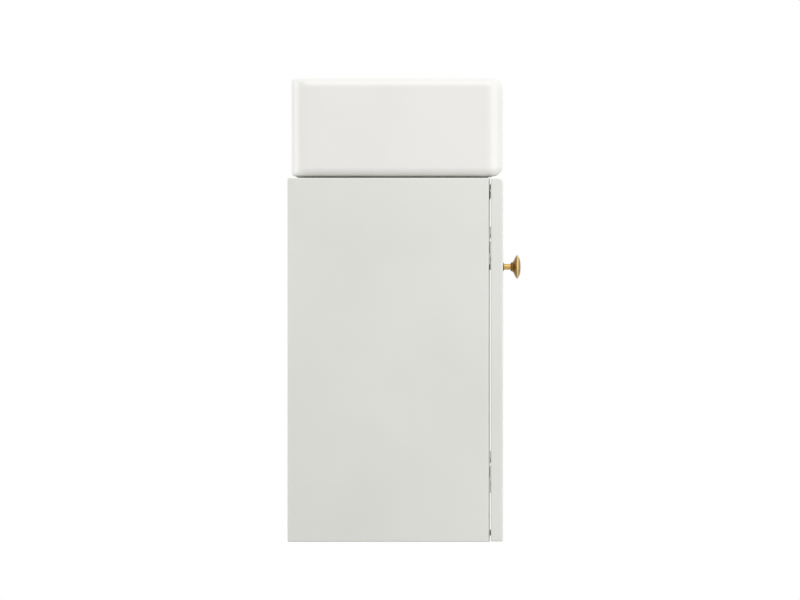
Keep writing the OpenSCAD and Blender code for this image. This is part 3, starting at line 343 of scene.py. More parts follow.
# Raw chipboard: flakes of 1 to 3 mm in many browns, torn and matt
raw_chipboard, tree, shader = start_material("raw_chipboard", {"IOR": 1.45})
place = add_node(tree, "ShaderNodeTexCoord")
flakes = add_node(tree, "ShaderNodeTexVoronoi", {"Vector": place.outputs["Object"], "Scale": 1 / (2.2 * MM)})
tint(tree, shader, flakes.outputs["Color"], CHIP_DARK_RGB, CHIP_RGB, 0.1, 0.8)
roughen(tree, shader, noise(tree, 3), 0.8, 0.95)
emboss(tree, shader, flakes.outputs["Distance"], 0.25, 0.8)

for panel, thick_axis, has_band in (
    ("top_panel", 2, True), ("bottom_panel", 2, True), ("shelf", 2, True),
    ("rear_rail", 1, False), ("back_panel", 1, False),
):
    low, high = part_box(panel)
    board = whole_faces(panel)
    for face in board.faces:
        centre = face.calc_center_median()
        on_face = abs(face.normal[thick_axis]) > 0.9 and (
            min(centre[thick_axis] - low[thick_axis], high[thick_axis] - centre[thick_axis]) < BANDED_MM * MM
        )
        on_band = has_band and face.normal.y < -0.9 and centre.y - low.y < BANDED_MM * MM
        face.material_index = 0 if on_face else 1 if on_band else 2
    round_edges(board, BOARD_EASE, 1, BOARD_EASE_OVER)
    add_piece(f"faced_{panel}", board, [melamine, edge_band, raw_chipboard], "cabinet", "melamine", panel)


# Dowels, cams, bolts and shelf pins
# Fluted beech dowels place each board. A zinc cam in the board's underside turns and draws in the head of a
# steel bolt that is driven into the side panel, and four plated pins carry the shelf.
INNER_X = 184.0
BOARD_MIDDLE_ZS, BOARD_UNDER_ZS = (122.0, -357.0), (114.0, -365.0)
RAIL_Y, RAIL_DOWEL_ZS = -10.0, (73.5, 100.5)
DOWEL_YS, CAM_YS = (-244.0, -48.0), (-210.0, -84.0)
DOWEL_D, DOWEL_L, DOWEL_IN = 8.0, 30.0, 11.0
CORE_SHARE, RIDGE_SHARE = 0.38, 0.12
CAM_X, CAM_R, CAM_H, CAM_CROSS = 160.0, 7.5, 12.0, 9.0
BOLT_D, BOLT_IN, BOLT_PITCH = 6.0, 9.0, 2.0
PIN_YS, PIN_Z, PIN_REACH = (-237.0, -63.0), -172.5, 8.0
METAL = {"Metallic": 1.0}
FLOAT, WHOLE, MATERIAL, OBJECT = (f"NodeSocket{kind}" for kind in ("Float", "Int", "Material", "Object"))


def temporary(name, mesh):
    """Object that only shapes another one; deleting its mesh afterwards deletes it too."""
    return new_object(name, as_data(name, mesh))


def revolve(outline, place=None, count=64, closed=False):
    """Turned solid: an outline of radius and height in millimetres, swept round the axis of a place."""
    mesh = bmesh.new()
    place = place or Matrix.Identity(4)
    rings = []
    for r, h in outline:
        turns = [2 * math.pi * i / count for i in range(count if r else 1)]
        points = [Vector((r * MM * math.cos(t), r * MM * math.sin(t), h * MM)) for t in turns]
        rings.append([mesh.verts.new(place @ point) for point in points])
    for one, other in list(zip(rings, rings[1:])) + ([(rings[-1], rings[0])] if closed else []):
        for i in range(count):
            following = (i + 1) % count
            corners = [one[0]] if len(one) == 1 else [one[i], one[following]]
            corners += [other[0]] if len(other) == 1 else [other[following], other[i]]
            if len(corners) > 2:
                mesh.faces.new(corners)
    bmesh.ops.recalc_face_normals(mesh, faces=mesh.faces)
    return mesh


def block(low, high):
    """Box between two opposite corners, in millimetres."""
    mesh = bmesh.new()
    bmesh.ops.create_cube(mesh, size=1)
    low, high = Vector(low) * MM, Vector(high) * MM
    for vert in mesh.verts:
        vert.co = Vector([(low[i] + high[i]) / 2 + vert.co[i] * (high[i] - low[i]) for i in range(3)])
    return mesh


def carve(name, mesh, changes):
    """Adds and cuts meshes, one after the other, and returns the finished mesh."""
    body = temporary(name, mesh)
    tools = []
    for operation, tool_mesh in changes:
        tool = temporary(f"{name}_tool", tool_mesh)
        change = body.modifiers.new(operation, "BOOLEAN")
        change.operation, change.object, change.solver = operation, tool, "EXACT"
        tools.append(tool)
    graph = bpy.context.evaluated_depsgraph_get()
    result = bpy.data.meshes.new_from_object(body.evaluated_get(graph))
    for made in (body, *tools):
        bpy.data.meshes.remove(made.data)
    return result


def loft(outlines, ring=False):
    """Solid from one outline in millimetres to the next, with a face at each end or closed into a ring."""
    mesh = bmesh.new()
    rings = [[mesh.verts.new(Vector(point) * MM) for point in outline] for outline in outlines]
    for one, other in list(zip(rings, rings[1:])) + ([(rings[-1], rings[0])] if ring else []):
        for i in range(len(one)):
            following = (i + 1) % len(one)
            mesh.faces.new((one[i], one[following], other[following], other[i]))
    for end in [] if ring else (rings[0], rings[-1]):
        mesh.faces.new(end)
    bmesh.ops.recalc_face_normals(mesh, faces=mesh.faces)
    return mesh


def cross(width, depth, top):
    """Tapered cross that a screwdriver leaves room for, cut down from a height."""
    outlines = []
    for share, z in ((1.0, top + 0.5), (1.0, top), (0.45, top - depth)):
        arm, slot = width / 2 * share, width / 8 * share
        quarter = [(arm, -slot), (arm, slot), (slot, slot)]
        outline = []
        for turn in range(4):
            cos, sin = ((1, 0), (0, 1), (-1, 0), (0, -1))[turn]
            outline += [(x * cos - y * sin, x * sin + y * cos, z) for x, y in quarter]
        outlines.append(outline)
    return loft(outlines)


def start_tree(name, **inputs):
    """Geometry tree with its named inputs, and the identifiers by which a modifier sets them."""
    tree = bpy.data.node_groups.new(name, "GeometryNodeTree")
    tree.interface.new_socket("Geometry", in_out="INPUT", socket_type="NodeSocketGeometry")
    tree.interface.new_socket("Geometry", in_out="OUTPUT", socket_type="NodeSocketGeometry")
    keys = {
        label: tree.interface.new_socket(label, in_out="INPUT", socket_type=kind).identifier
        for label, kind in inputs.items()
    }
    return tree, keys, tree.nodes.new("NodeGroupInput").outputs


def end_tree(tree, given, shape):
    """Puts a tree's shape at each of the given points, turned to its aim, as one mesh with its material."""
    aim = add_node(tree, "GeometryNodeInputNamedAttribute", {"Name": "aim"}, data_type="FLOAT_VECTOR")
    turned = add_node(
        tree, "FunctionNodeAlignRotationToVector", {"Vector": aim.outputs["Attribute"]}, axis="Z"
    )
    copies = add_node(tree, "GeometryNodeInstanceOnPoints", {
        "Points": given["Geometry"], "Instance": shape, "Rotation": turned,
    })
    solid = add_node(tree, "GeometryNodeRealizeInstances", {"Geometry": copies})
    finished = add_node(tree, "GeometryNodeSetMaterial", {"Geometry": solid, "Material": given["Material"]})
    add_node(tree, "NodeGroupOutput", {"Geometry": finished})


def grow(tree, keys, places, **values):
    """Plain mesh of what a tree makes at places, each a point in millimetres and the way it points."""
    points = bpy.data.meshes.new("points")
    points.from_pydata([Vector(point) * MM for point, aim in places], [], [])
    aims = points.attributes.new("aim", "FLOAT_VECTOR", "POINT")
    for i, (point, aim) in enumerate(places):
        aims.data[i].vector = aim
    maker = new_object("maker", points)
    change = maker.modifiers.new(tree.name, "NODES")
    change.node_group = tree
    for label, value in values.items():
        change[keys[label]] = value
    graph = bpy.context.evaluated_depsgraph_get()
    result = bpy.data.meshes.new_from_object(maker.evaluated_get(graph))
    for made in (maker, *values.values()):
        if isinstance(made, bpy.types.Object):
            bpy.data.meshes.remove(made.data)
    return result


def draw_rod(tree, outline, length, taper, thin, rings, way, both_ends):
    """Outline drawn up the axis for a way of 1 and down for -1, and thinner at its far end or at both."""
    end_z = add_node(tree, "ShaderNodeMath", {0: length, 1: way}, operation="MULTIPLY")
    end = add_node(tree, "ShaderNodeCombineXYZ", {"Z": end_z})
    axis = add_node(tree, "GeometryNodeCurvePrimitiveLine", {"End": end})
    points = add_node(tree, "GeometryNodeResampleCurve", {"Curve": axis, "Count": rings})
    along = add_node(tree, "GeometryNodeSplineParameter").outputs["Length"]
    from_end = add_node(tree, "ShaderNodeMath", {0: length, 1: along}, operation="SUBTRACT")
    if both_ends:
        from_end = add_node(tree, "ShaderNodeMath", {0: along, 1: from_end}, operation="MINIMUM")
    drawn = add_node(tree, "ShaderNodeMapRange", {"Value": from_end, "From Max": taper, "To Min": thin})
    return add_node(tree, "GeometryNodeCurveToMesh", {
        "Curve": points, "Profile Curve": outline, "Scale": drawn, "Fill Caps": True,
    })


def wind_ridge(tree, core_r, ridge_r, length, pitch, steps, normals):
    """Ridge of a thread, four-sided and wound up the axis in a number of steps for each turn."""
    turns = add_node(tree, "ShaderNodeMath", {0: length, 1: pitch}, operation="DIVIDE")
    spiral = add_node(tree, "GeometryNodeCurveSpiral", {
        "Resolution": steps, "Rotations": turns, "Start Radius": core_r, "End Radius": core_r,
        "Height": length,
    })
    upright_spiral = add_node(tree, "GeometryNodeSetCurveNormal", {"Curve": spiral}, mode=normals)
    outline = add_node(tree, "GeometryNodeCurvePrimitiveCircle", {"Resolution": 4, "Radius": ridge_r})
    return add_node(tree, "GeometryNodeCurveToMesh", {
        "Curve": upright_spiral, "Profile Curve": outline, "Fill Caps": True,
    })


# Beech: fine straight grain along the dowel, turned but not varnished
beech = make_material(
    "beech", {"IOR": 1.45}, ("#BE9763", "#D8B787", 1.5, 3, (0.08, 1, 1)), (0.6, 0.75, 2),
    (0.05, 0.5, 0.7, 3, (0.08, 1, 1)),
)

# Die-cast zinc: grey with a slight skin from the mould, dull
cast_zinc = make_material(
    "cast_zinc", METAL, ("#8F9192", "#AEB0B1", 5, 3), (0.36, 0.52, 2, 3), (0.03, 0.5, 0.8, 3)
)

# Zinc-plated steel: bright and a little blue, with clouds from the plating bath
plated_steel = make_material(
    "plated_steel", METAL, ("#B4B8BC", "#CED1D3", 6, 3), (0.2, 0.34, 3, 3), (0.01, 0.4, 0.6, 2)
)

# A dowel is a star, its flutes, drawn along the dowel's length, and smaller at the chamfered ends
dowel_tree, dowel_keys, given = start_tree("fluted_dowel", **{
    "Diameter": FLOAT, "Length": FLOAT, "Flutes": WHOLE, "Flute depth": FLOAT, "Chamfer": FLOAT,
    "Material": MATERIAL,
})
radius = add_node(dowel_tree, "ShaderNodeMath", {0: given["Diameter"], 1: 0.5}, operation="MULTIPLY")
groove = add_node(dowel_tree, "ShaderNodeMath", {0: radius, 1: given["Flute depth"]}, operation="SUBTRACT")
star = add_node(dowel_tree, "GeometryNodeCurveStar", {
    "Points": given["Flutes"], "Inner Radius": groove, "Outer Radius": radius,
})
end_tree(dowel_tree, given, draw_rod(
    dowel_tree, star, given["Length"], given["Chamfer"], thin=0.8, rings=21, way=1, both_ends=True
))
dowel_places = [
    ((side * (INNER_X + DOWEL_IN - DOWEL_L), y, z), (side, 0, 0))
    for side in (1, -1)
    for y, z in [(y, z) for z in BOARD_MIDDLE_ZS for y in DOWEL_YS] + [(RAIL_Y, z) for z in RAIL_DOWEL_ZS]
]
add_piece("fluted_dowels", grow(dowel_tree, dowel_keys, dowel_places, **{
    "Diameter": DOWEL_D * MM, "Length": DOWEL_L * MM, "Flutes": 14, "Flute depth": 0.3 * MM,
    "Chamfer": 1.5 * MM, "Material": beech,
}), [beech], "cabinet", "beech", "dowels")

# Copies of one finished shape
copy_tree, copy_keys, given = start_tree("copies", Shape=OBJECT, Material=MATERIAL)
shape = add_node(copy_tree, "GeometryNodeObjectInfo", {"Object": given["Shape"]})
end_tree(copy_tree, given, shape.outputs["Geometry"])


def add_copies(name, shape_mesh, places, material, body, slot, node):
    """Piece of one shape at each of its places."""
    mesh = grow(copy_tree, copy_keys, places, Shape=temporary(name, shape_mesh), Material=material)
    return add_piece(name, mesh, [material], body, slot, node)


cam_cross = cross(CAM_CROSS, 2.3, 0)
bmesh.ops.rotate(cam_cross, verts=cam_cross.verts, cent=(0, 0, 0), matrix=Matrix.Rotation(math.pi, 3, "X"))
cam = carve("cam", revolve([
    (0, 0), (CAM_R - 0.5, 0), (CAM_R, 0.5), (CAM_R, 2.2), (CAM_R - 0.3, 2.5),
    (CAM_R - 0.3, CAM_H - 0.6), (CAM_R - 0.9, CAM_H), (0, CAM_H),
], count=48), [
    ("DIFFERENCE", block((-CAM_R - 1, -3.5, 4.5), (CAM_R + 1, 3.5, CAM_H - 0.9))),
    ("DIFFERENCE", loft([[(-0.5, -5.2, z), (0.5, -5.2, z), (0, -6.4, z)] for z in (0.8, -1)])),
    ("DIFFERENCE", cam_cross),
])
cam_places = [((side * CAM_X, y, z), (0, 0, 1)) for side in (1, -1) for z in BOARD_UNDER_ZS for y in CAM_YS]
add_copies("cast_cams", cam, cam_places, cast_zinc, "cabinet", "zinc", "cam_locks")

# A screw is a core that ends in a point, with a ridge wound round it, under a head that is turned beforehand
screw_tree, screw_keys, given = start_tree("screw", **{
    "Head": OBJECT, "Shank diameter": FLOAT, "Length": FLOAT, "Pitch": FLOAT, "Point": FLOAT,
    "Material": MATERIAL,
})
core_r, ridge_r = [
    add_node(screw_tree, "ShaderNodeMath", {
        0: given["Shank diameter"], 1: share,
    }, operation="MULTIPLY") for share in (CORE_SHARE, RIDGE_SHARE)
]
round_core = add_node(screw_tree, "GeometryNodeCurvePrimitiveCircle", {"Resolution": 16, "Radius": core_r})
core = draw_rod(
    screw_tree, round_core, given["Length"], given["Point"],
    thin=0.1, rings=24, way=-1, both_ends=False,
)
wound = add_node(screw_tree, "ShaderNodeMath", {0: given["Length"], 1: given["Point"]}, operation="SUBTRACT")
ridge = wind_ridge(screw_tree, core_r, ridge_r, wound, given["Pitch"], 14, "MINIMUM_TWIST")
hung = add_node(screw_tree, "ShaderNodeMath", {0: wound, 1: -1.0}, operation="MULTIPLY")
below = add_node(screw_tree, "ShaderNodeCombineXYZ", {"Z": hung})
under_head = add_node(screw_tree, "GeometryNodeTransform", {"Geometry": ridge, "Translation": below})
head = add_node(screw_tree, "GeometryNodeObjectInfo", {"Object": given["Head"]})
whole_screw = add_node(screw_tree, "GeometryNodeJoinGeometry", {"Geometry": head.outputs["Geometry"]})
for part in (core, under_head):
    screw_tree.links.new(part.outputs[0], whole_screw.inputs[0])
end_tree(screw_tree, given, whole_screw)


def pan_head(diameter, height):
    """Cheese head with a softly rounded top and its cross."""
    r = diameter / 2
    return carve("head", revolve([
        (0, height), (r * 0.55, height - 0.04), (r * 0.82, height - 0.16), (r * 0.95, height - 0.4),
        (r, height - 0.8), (r, 0.15), (r - 0.15, 0), (0, 0),
    ], count=40), [("DIFFERENCE", cross(diameter * 0.6, diameter * 0.17, height))])


def add_screws(name, head_mesh, shank, length, pitch, point, places, body, node):
    """Piece of like steel screws; places are under their heads and aim along them; sizes in millimetres."""
    mesh = grow(screw_tree, screw_keys, places, **{
        "Head": temporary(name, head_mesh), "Shank diameter": shank * MM, "Length": length * MM,
        "Pitch": pitch * MM, "Point": point * MM, "Material": plated_steel,
    })
    return add_piece(name, mesh, [plated_steel], body, "steel", node)


def add_sunk_screws(name, diameter, shank, length, pitch, point, places, body, node):
    """Piece of like screws with flat heads, whose places are level with what they are sunk into."""
    r = diameter / 2
    height = r - shank / 2 + 0.1
    head = carve("head", revolve([
        (0, height), (r - 0.35, height), (r - 0.1, height - 0.08), (r, height - 0.3), (shank / 2, 0), (0, 0),
    ], count=40), [("DIFFERENCE", cross(diameter * 0.6, diameter * 0.16, height))])
    under_heads = [(Vector(at) - height * Vector(aim), aim) for at, aim in places]
    return add_screws(name, head, shank, length - height, pitch, point, under_heads, body, node)


bolt_r, bolt_out = BOLT_D / 2, INNER_X - CAM_X
bolt_head = revolve([
    (0, bolt_out), (bolt_r - 0.6, bolt_out), (bolt_r, bolt_out - 0.6), (bolt_r, bolt_out - 3.6),
    (bolt_r - 0.4, bolt_out - 4), (bolt_r / 2, bolt_out - 4.2), (bolt_r / 2, bolt_out - 7.8),
    (bolt_r - 0.4, bolt_out - 8), (bolt_r, bolt_out - 8.4), (bolt_r, 0.4), (bolt_r - 0.4, 0), (0, 0),
], count=32)
bolt_places = [
    ((side * INNER_X, y, z), (-side, 0, 0)) for side in (1, -1) for z in BOARD_MIDDLE_ZS for y in CAM_YS
]
add_screws(
    "cam_bolts_threaded", bolt_head, BOLT_D, BOLT_IN, BOLT_PITCH, 1.5, bolt_places, "cabinet", "cam_bolts"
)

# Each pin's collar has two flats, so that it clears the shelf's end
pin = carve("pin", revolve([
    (0, 0), (1.9, 0), (2.5, 0.6), (2.5, PIN_REACH - 1.2), (3.8, PIN_REACH - 1.2), (4, PIN_REACH - 1.0),
    (4, PIN_REACH), (2.5, PIN_REACH), (2.5, PIN_REACH + 9.4), (1.9, PIN_REACH + 10), (0, PIN_REACH + 10),
], count=40), [
    ("DIFFERENCE", block((2.5, -5, PIN_REACH - 2), (5, 5, PIN_REACH + 1))),
    ("DIFFERENCE", block((-5, -5, PIN_REACH - 2), (-2.5, 5, PIN_REACH + 1))),
])
pin_places = [((side * (INNER_X - PIN_REACH), y, PIN_Z), (side, 0, 0)) for side in (1, -1) for y in PIN_YS]
add_copies("turned_shelf_pins", pin, pin_places, plated_steel, "cabinet", "steel", "shelf_pins")


# Basin
# Vitreous china, slip-cast in one piece with its overflow passage; foot and hollow have no glaze.
# It stands on the top panel on a bead of sealant. Its loops follow the CAD solid's radii, with more steps.
# Outlines are half width, front, rear and corner radius, in millimetres.
GLAZE_RGB = "#E7E6E3"
BISCUIT_RGB = "#DAD6CB"
OUTSIDE = (195.0, -292.4, -5.4, 24.0)
FOOT = (177.0, -278.0, -11.4, 20.0)
BOWL = (174.0, -271.4, -77.4, 62.0)
UNDER_Z, RIM_Z, FOOT_W, FOOT_Z, FOOT_EASE = 132.0, 265.4, 12.0, 131.0, 0.8
FRONT_R, SIDE_R, REAR_R = 14.0, 12.0, 5.0
WARE, HOLLOW_TOP_Z, TURN_IN_Z = 12.0, 251.4, 144.0
BOWL_FLOOR_Z, BOWL_R, BOWL_WALL, MOUTH_R = 165.4, 38.0, 10.0, 5.0
BOWL_DRAFT = math.tan(math.radians(4))
# Where the bowl's wall spreads into the deck: the height it starts at, and the outline it ends in
SPREAD_Z, SPREAD = 246.4, (182.75, -280.15, -68.5, 70.0)
DRAIN_Y, DRAIN_Z, DRAIN_UNDER_Z, DRAIN_R, DRAIN_FLAT_R, BOSS_ROOT = -165.4, 160.4, 134.4, 23.0, 36.0, 5.0
PASSAGE_X, PASSAGE_LOW_Z, CASING_X = 15.0, 138.4, 21.0
TAP_Y, OVERFLOW_AT = -37.4, (0, -79.2, 225.4)
FOOT_ROUNDING = 2 / 3
CORNER_STEPS, SIDE_STEPS, ROUND_STEPS, MOUTH_STEPS, FALL_STEPS = 12, 12, 14, 8, 7
NEAR = 0.1


def rounded_loop(x, front, rear, r, z):
    """Points round a rectangle with round corners, in the same number whatever its size."""
    corners = [(x - r, rear - r), (r - x, rear - r), (r - x, front + r), (x - r, front + r)]
    arcs = []
    for i, (cx, cy) in enumerate(corners):
        turns = [math.radians(90 * (i + step / CORNER_STEPS)) for step in range(CORNER_STEPS + 1)]
        arcs.append([Vector((cx + r * math.cos(t), cy + r * math.sin(t), z)) for t in turns])
    points = []
    for i, arc in enumerate(arcs):
        following = arcs[(i + 1) % 4][0]
        points += arc + [arc[-1].lerp(following, step / SIDE_STEPS) for step in range(1, SIDE_STEPS)]
    return points


def inset_loop(outline, inset, z, rounding=1):
    """Loop at a distance inside an outline; its corners shrink by a share of that."""
    x, front, rear, r = outline
    return rounded_loop(x - inset, front + inset, rear - inset, r - inset * rounding, z)


def round_loop(r, z):
    """Points round the waste hole that pair with those of a rounded loop."""
    count = 4 * (CORNER_STEPS + SIDE_STEPS)
    turns = [2 * math.pi * (i - CORNER_STEPS / 2) / count + math.pi / 4 for i in range(count)]
    return [Vector((r * math.cos(t), DRAIN_Y + r * math.sin(t), z)) for t in turns]


def between(first, second, share, z):
    """Loop a share of the way from one loop to another, at its own height."""
    return [Vector((*a.lerp(b, share).xy, z)) for a, b in zip(first, second)]


def drawn_in(r, height):
    """How far a round of a radius draws in at a height from its tangent face."""
    return 0 if height >= r else r - math.sqrt(r * r - (r - height) ** 2)


def outside_loop(height, z):
    """Loop of the basin's outside at a height from its top or bottom face."""
    x, front, rear, r = OUTSIDE
    side = drawn_in(SIDE_R, height)
    front, rear = front + drawn_in(FRONT_R, height), rear - drawn_in(REAR_R, height)
    return rounded_loop(x - side, front, rear, r - side, z)


def bowl_loop(grown, height):
    """Loop of the bowl at a height above its floor: its inside, or its outside grown by the wall."""
    low = BOWL_FLOOR_Z - grown
    inset = drawn_in(BOWL_R + grown, height) + (RIM_Z - low - height) * BOWL_DRAFT - grown
    return inset_loop(BOWL, inset, low + height)


# Shares of a round's height, closer together where it starts
shares = [1 - math.cos(math.pi / 2 * i / ROUND_STEPS) for i in range(ROUND_STEPS + 1)]
loops = [inset_loop(FOOT, inset, z, FOOT_ROUNDING) for inset, z in (
    (FOOT_W - FOOT_EASE, FOOT_Z), (FOOT_EASE, FOOT_Z), (0, FOOT_Z + FOOT_EASE), (0, UNDER_Z),
)]
loops += [outside_loop(FRONT_R * s, UNDER_Z + FRONT_R * s) for s in shares]
loops += [outside_loop(FRONT_R * s, RIM_Z - FRONT_R * s) for s in reversed(shares)]
for i in range(MOUTH_STEPS + 1):
    turn = math.pi / 2 * i / MOUTH_STEPS
    sunk = MOUTH_R * (1 - math.cos(turn))
    inset = sunk * BOWL_DRAFT - MOUTH_R * (1 - math.sin(turn))
    loops.append(inset_loop(BOWL, inset, RIM_Z - sunk))
wall_top = RIM_Z - MOUTH_R - BOWL_FLOOR_Z
loops += [bowl_loop(0, wall_top + (BOWL_R - wall_top) * share) for share in (0.25, 0.5, 0.75)]
loops += [bowl_loop(0, BOWL_R * s) for s in reversed(shares)]
floor_edge = loops[-1]
seat = round_loop(DRAIN_FLAT_R, DRAIN_Z)
for i in range(1, FALL_STEPS):
    share = i / FALL_STEPS
    fall = share * share * (3 - 2 * share)
    loops.append(between(floor_edge, seat, share, BOWL_FLOOR_Z + (DRAIN_Z - BOWL_FLOOR_Z) * fall))
loops += [
    seat, round_loop(DRAIN_R + 1, DRAIN_Z), round_loop(DRAIN_R + 0.3, DRAIN_Z - 0.3),
    round_loop(DRAIN_R, DRAIN_Z - 1), round_loop(DRAIN_R, DRAIN_UNDER_Z + 1),
    round_loop(DRAIN_R + 1, DRAIN_UNDER_Z), round_loop(DRAIN_FLAT_R - 1.5, DRAIN_UNDER_Z),
    round_loop(DRAIN_FLAT_R, DRAIN_UNDER_Z + 1.5),
]
under_edge = bowl_loop(BOWL_WALL, 0)
boss_top = round_loop(DRAIN_FLAT_R, BOWL_FLOOR_Z - BOWL_WALL - BOSS_ROOT)
loops += [boss_top, between(boss_top, under_edge, 0.5, BOWL_FLOOR_Z - BOWL_WALL - BOSS_ROOT / 2)]
loops += [bowl_loop(BOWL_WALL, (BOWL_R + BOWL_WALL) * s) for s in shares]
loops += [
    bowl_loop(BOWL_WALL, SPREAD_Z - BOWL_FLOOR_Z + BOWL_WALL), inset_loop(SPREAD, 0, HOLLOW_TOP_Z),
    inset_loop(OUTSIDE, WARE, HOLLOW_TOP_Z), inset_loop(OUTSIDE, WARE, TURN_IN_Z),
    inset_loop(FOOT, FOOT_W, TURN_IN_Z, FOOT_ROUNDING),
    inset_loop(FOOT, FOOT_W, FOOT_Z + FOOT_EASE, FOOT_ROUNDING),
]


def upright(x_mm, y_mm, z_mm=0):
    """Place whose axis points up."""
    return Matrix.Translation(Vector((x_mm, y_mm, z_mm)) * MM)


def level_to_front(x_mm, y_mm, z_mm):
    """Place whose axis points forwards, along -Y."""
    return upright(x_mm, y_mm, z_mm) @ Matrix.Rotation(math.radians(90), 4, "X")


casing_outline = [
    (-138.4, DRAIN_UNDER_Z), (-55.9, DRAIN_UNDER_Z), (-55.9, 242.4), (-76.9, 242.4), (-76.9, 150.4),
    (-138.4, 150.4),
]
casing = loft([[(x, y, z) for y, z in casing_outline] for x in (-CASING_X, CASING_X)])
round_edges(casing, 3, 3)
# Rims of glazed holes: the glaze draws back round their edges
tap_cutter = revolve([
    (0, 249), (17.5, 249), (17.5, RIM_Z - 1.4), (17.7, RIM_Z - 0.8), (18.2, RIM_Z - 0.3), (19, RIM_Z),
    (19, RIM_Z + 1.6), (0, RIM_Z + 1.6),
], upright(0, TAP_Y))
overflow_cutter = revolve([
    (0, -16), (11, -16), (11, -0.8), (11.3, -0.2), (14.6, 0), (14.6, 20), (0, 20),
], level_to_front(*OVERFLOW_AT))
basin_mesh = carve("basin_shape", loft(loops, ring=True), [
    ("UNION", casing),
    ("DIFFERENCE", block((-PASSAGE_X, -70.9, PASSAGE_LOW_Z), (PASSAGE_X, -61.9, 236.4))),
    ("DIFFERENCE", block((-PASSAGE_X, DRAIN_Y, PASSAGE_LOW_Z), (PASSAGE_X, -62.5, 148.4))),
    ("DIFFERENCE", tap_cutter),
    ("DIFFERENCE", overflow_cutter),
])
half_width, front, rear = OUTSIDE[:3]
inwards = WARE - NEAR
for face in basin_mesh.polygons:
    x, y, z = face.center / MM
    within_walls = (
        z < HOLLOW_TOP_Z + NEAR and abs(x) < half_width - inwards and front + inwards < y < rear - inwards
    )
    in_bowl = z > DRAIN_UNDER_Z + 1 and (math.hypot(x, y - DRAIN_Y) < DRAIN_R + 1 or face.normal.z > 0.02)
    face.material_index = 1 if within_walls and not in_bowl and face.normal.z < 0.3 else 0

# Glaze: a thick glassy coat that pools a little, so its shine waves slowly over some 30 mm
china_glaze = make_material(
    "china_glaze", {"IOR": 1.52},
    ("#E3E2DE", GLAZE_RGB, 120), (0.05, 0.1, 40), (0.05, 0.4, 30, 1), MOSTLY_LIGHT,
)

# Biscuit: fired clay without glaze, chalky to the eye
biscuit = make_material(
    "biscuit", {"IOR": 1.45}, ("#CFCABD", BISCUIT_RGB, 6, 4), (0.7, 0.85, 4), (0.1, 0.5, 1.5, 4)
)

add_piece("china_basin", basin_mesh, [china_glaze, biscuit], "cabinet", "ceramic", "basin")


# Sealant
# A bead of white silicone under the basin's foot, pressed flat when the basin is set down.
# It stands out a little here and there, as it was pressed.
BEAD = (175.0, -272.0, -13.4, 18.0)
BEAD_W, BEAD_LOW_Z, BEAD_HIGH_Z, BEAD_BULGE, BEAD_WAVER = 8.0, 130.0, 131.0, 0.2, 0.0012

silicone, tree, shader = start_material("silicone", {"IOR": 1.42, "Roughness": 0.4})
tint(tree, shader, noise(tree, 25), "#DDDCD6", "#E7E6E1")
emboss(tree, shader, noise(tree, 4), 0.1, 0.5)

bead_zs = (BEAD_LOW_Z, (BEAD_LOW_Z + BEAD_HIGH_Z) / 2, BEAD_HIGH_Z)
bead_insets = (BEAD_BULGE, -BEAD_BULGE, BEAD_BULGE)
bead_loops = [inset_loop(BEAD, inset, z) for inset, z in zip(bead_insets, bead_zs)]
bead_loops += [inset_loop(BEAD, BEAD_W - inset, z) for inset, z in zip(bead_insets, reversed(bead_zs))]
for loop in bead_loops[1::3]:
    for point in loop:
        point.xy *= 1 + BEAD_WAVER * math.sin(point.x * 0.21) * math.sin(point.y * 0.17 + 1)
add_piece("sealant_bead", loft(bead_loops, ring=True), [silicone], "cabinet", "sealant", "basin_sealant")


# Overflow ring
# Pressed brass with bright chrome, pushed into the overflow hole until its lip meets the bowl.
chrome = make_material("chrome", METAL, ("#DDE0E2", "#EAECED", 30), (0.04, 0.1, 8, 3), (0.01, 0.3, 12))

add_piece("chromed_ring", revolve([
    (9, -6), (10.8, -6), (10.8, -0.2), (11, 0), (14.3, 0), (14.5, 0.3), (14.4, 0.9), (13.9, 1.5), (13.0, 1.9),
    (12.0, 2.0), (11.0, 1.8), (10.2, 1.2), (9.4, 0.2), (9, -1.2),
], level_to_front(*OVERFLOW_AT), 64, closed=True), [chrome], "cabinet", "chrome", "overflow_ring")


# Waste
# The chromed brass waste hangs in the basin by its flange: its mouth is dished, its tail has windows for the
# overflow's water and a thread, and a spider guides the plug. A gasket, a washer and a hexagon nut clamp it.
TAIL_R, TAIL_BORE_R, THREAD_CORE_R = 20.95, 17.95, 19.4
FLANGE_R, FLANGE_Z, FLANGE_TOP_Z = 32.0, 161.9, 164.9
THREAD_LOW_Z, THREAD_HIGH_Z, THREAD_PITCH, THREAD_H = 81.9, 115.9, 2.309, 1.5
WINDOW_X, WINDOW_LOW_Z, WINDOW_HIGH_Z = 7.0, 139.4, 147.4
HUB_R, HUB_BORE_R, HUB_LOW_Z, HUB_HIGH_Z = 7.0, 4.3, 129.9, 139.9
SPOKE_T, SPOKE_H = 3.0, 6.0
NUT_LOW_Z, NUT_HIGH_Z, NUT_CORNER_R, NUT_FLANGE_R, NUT_FLANGE_H = 119.4, 129.4, 30.0, 31.0, 3.0

waste_axis = upright(0, DRAIN_Y)
thread_tree, thread_keys, given = start_tree("pipe_thread", **{
    "Radius": FLOAT, "Length": FLOAT, "Pitch": FLOAT, "Depth": FLOAT, "Material": MATERIAL,
})
half_depth = add_node(thread_tree, "ShaderNodeMath", {0: given["Depth"], 1: 0.5}, operation="MULTIPLY")
middle_r = add_node(thread_tree, "ShaderNodeMath", {0: given["Radius"], 1: half_depth}, operation="SUBTRACT")
end_tree(thread_tree, given, wind_ridge(
    thread_tree, middle_r, half_depth, given["Length"], given["Pitch"], 64, "Z_UP"
))


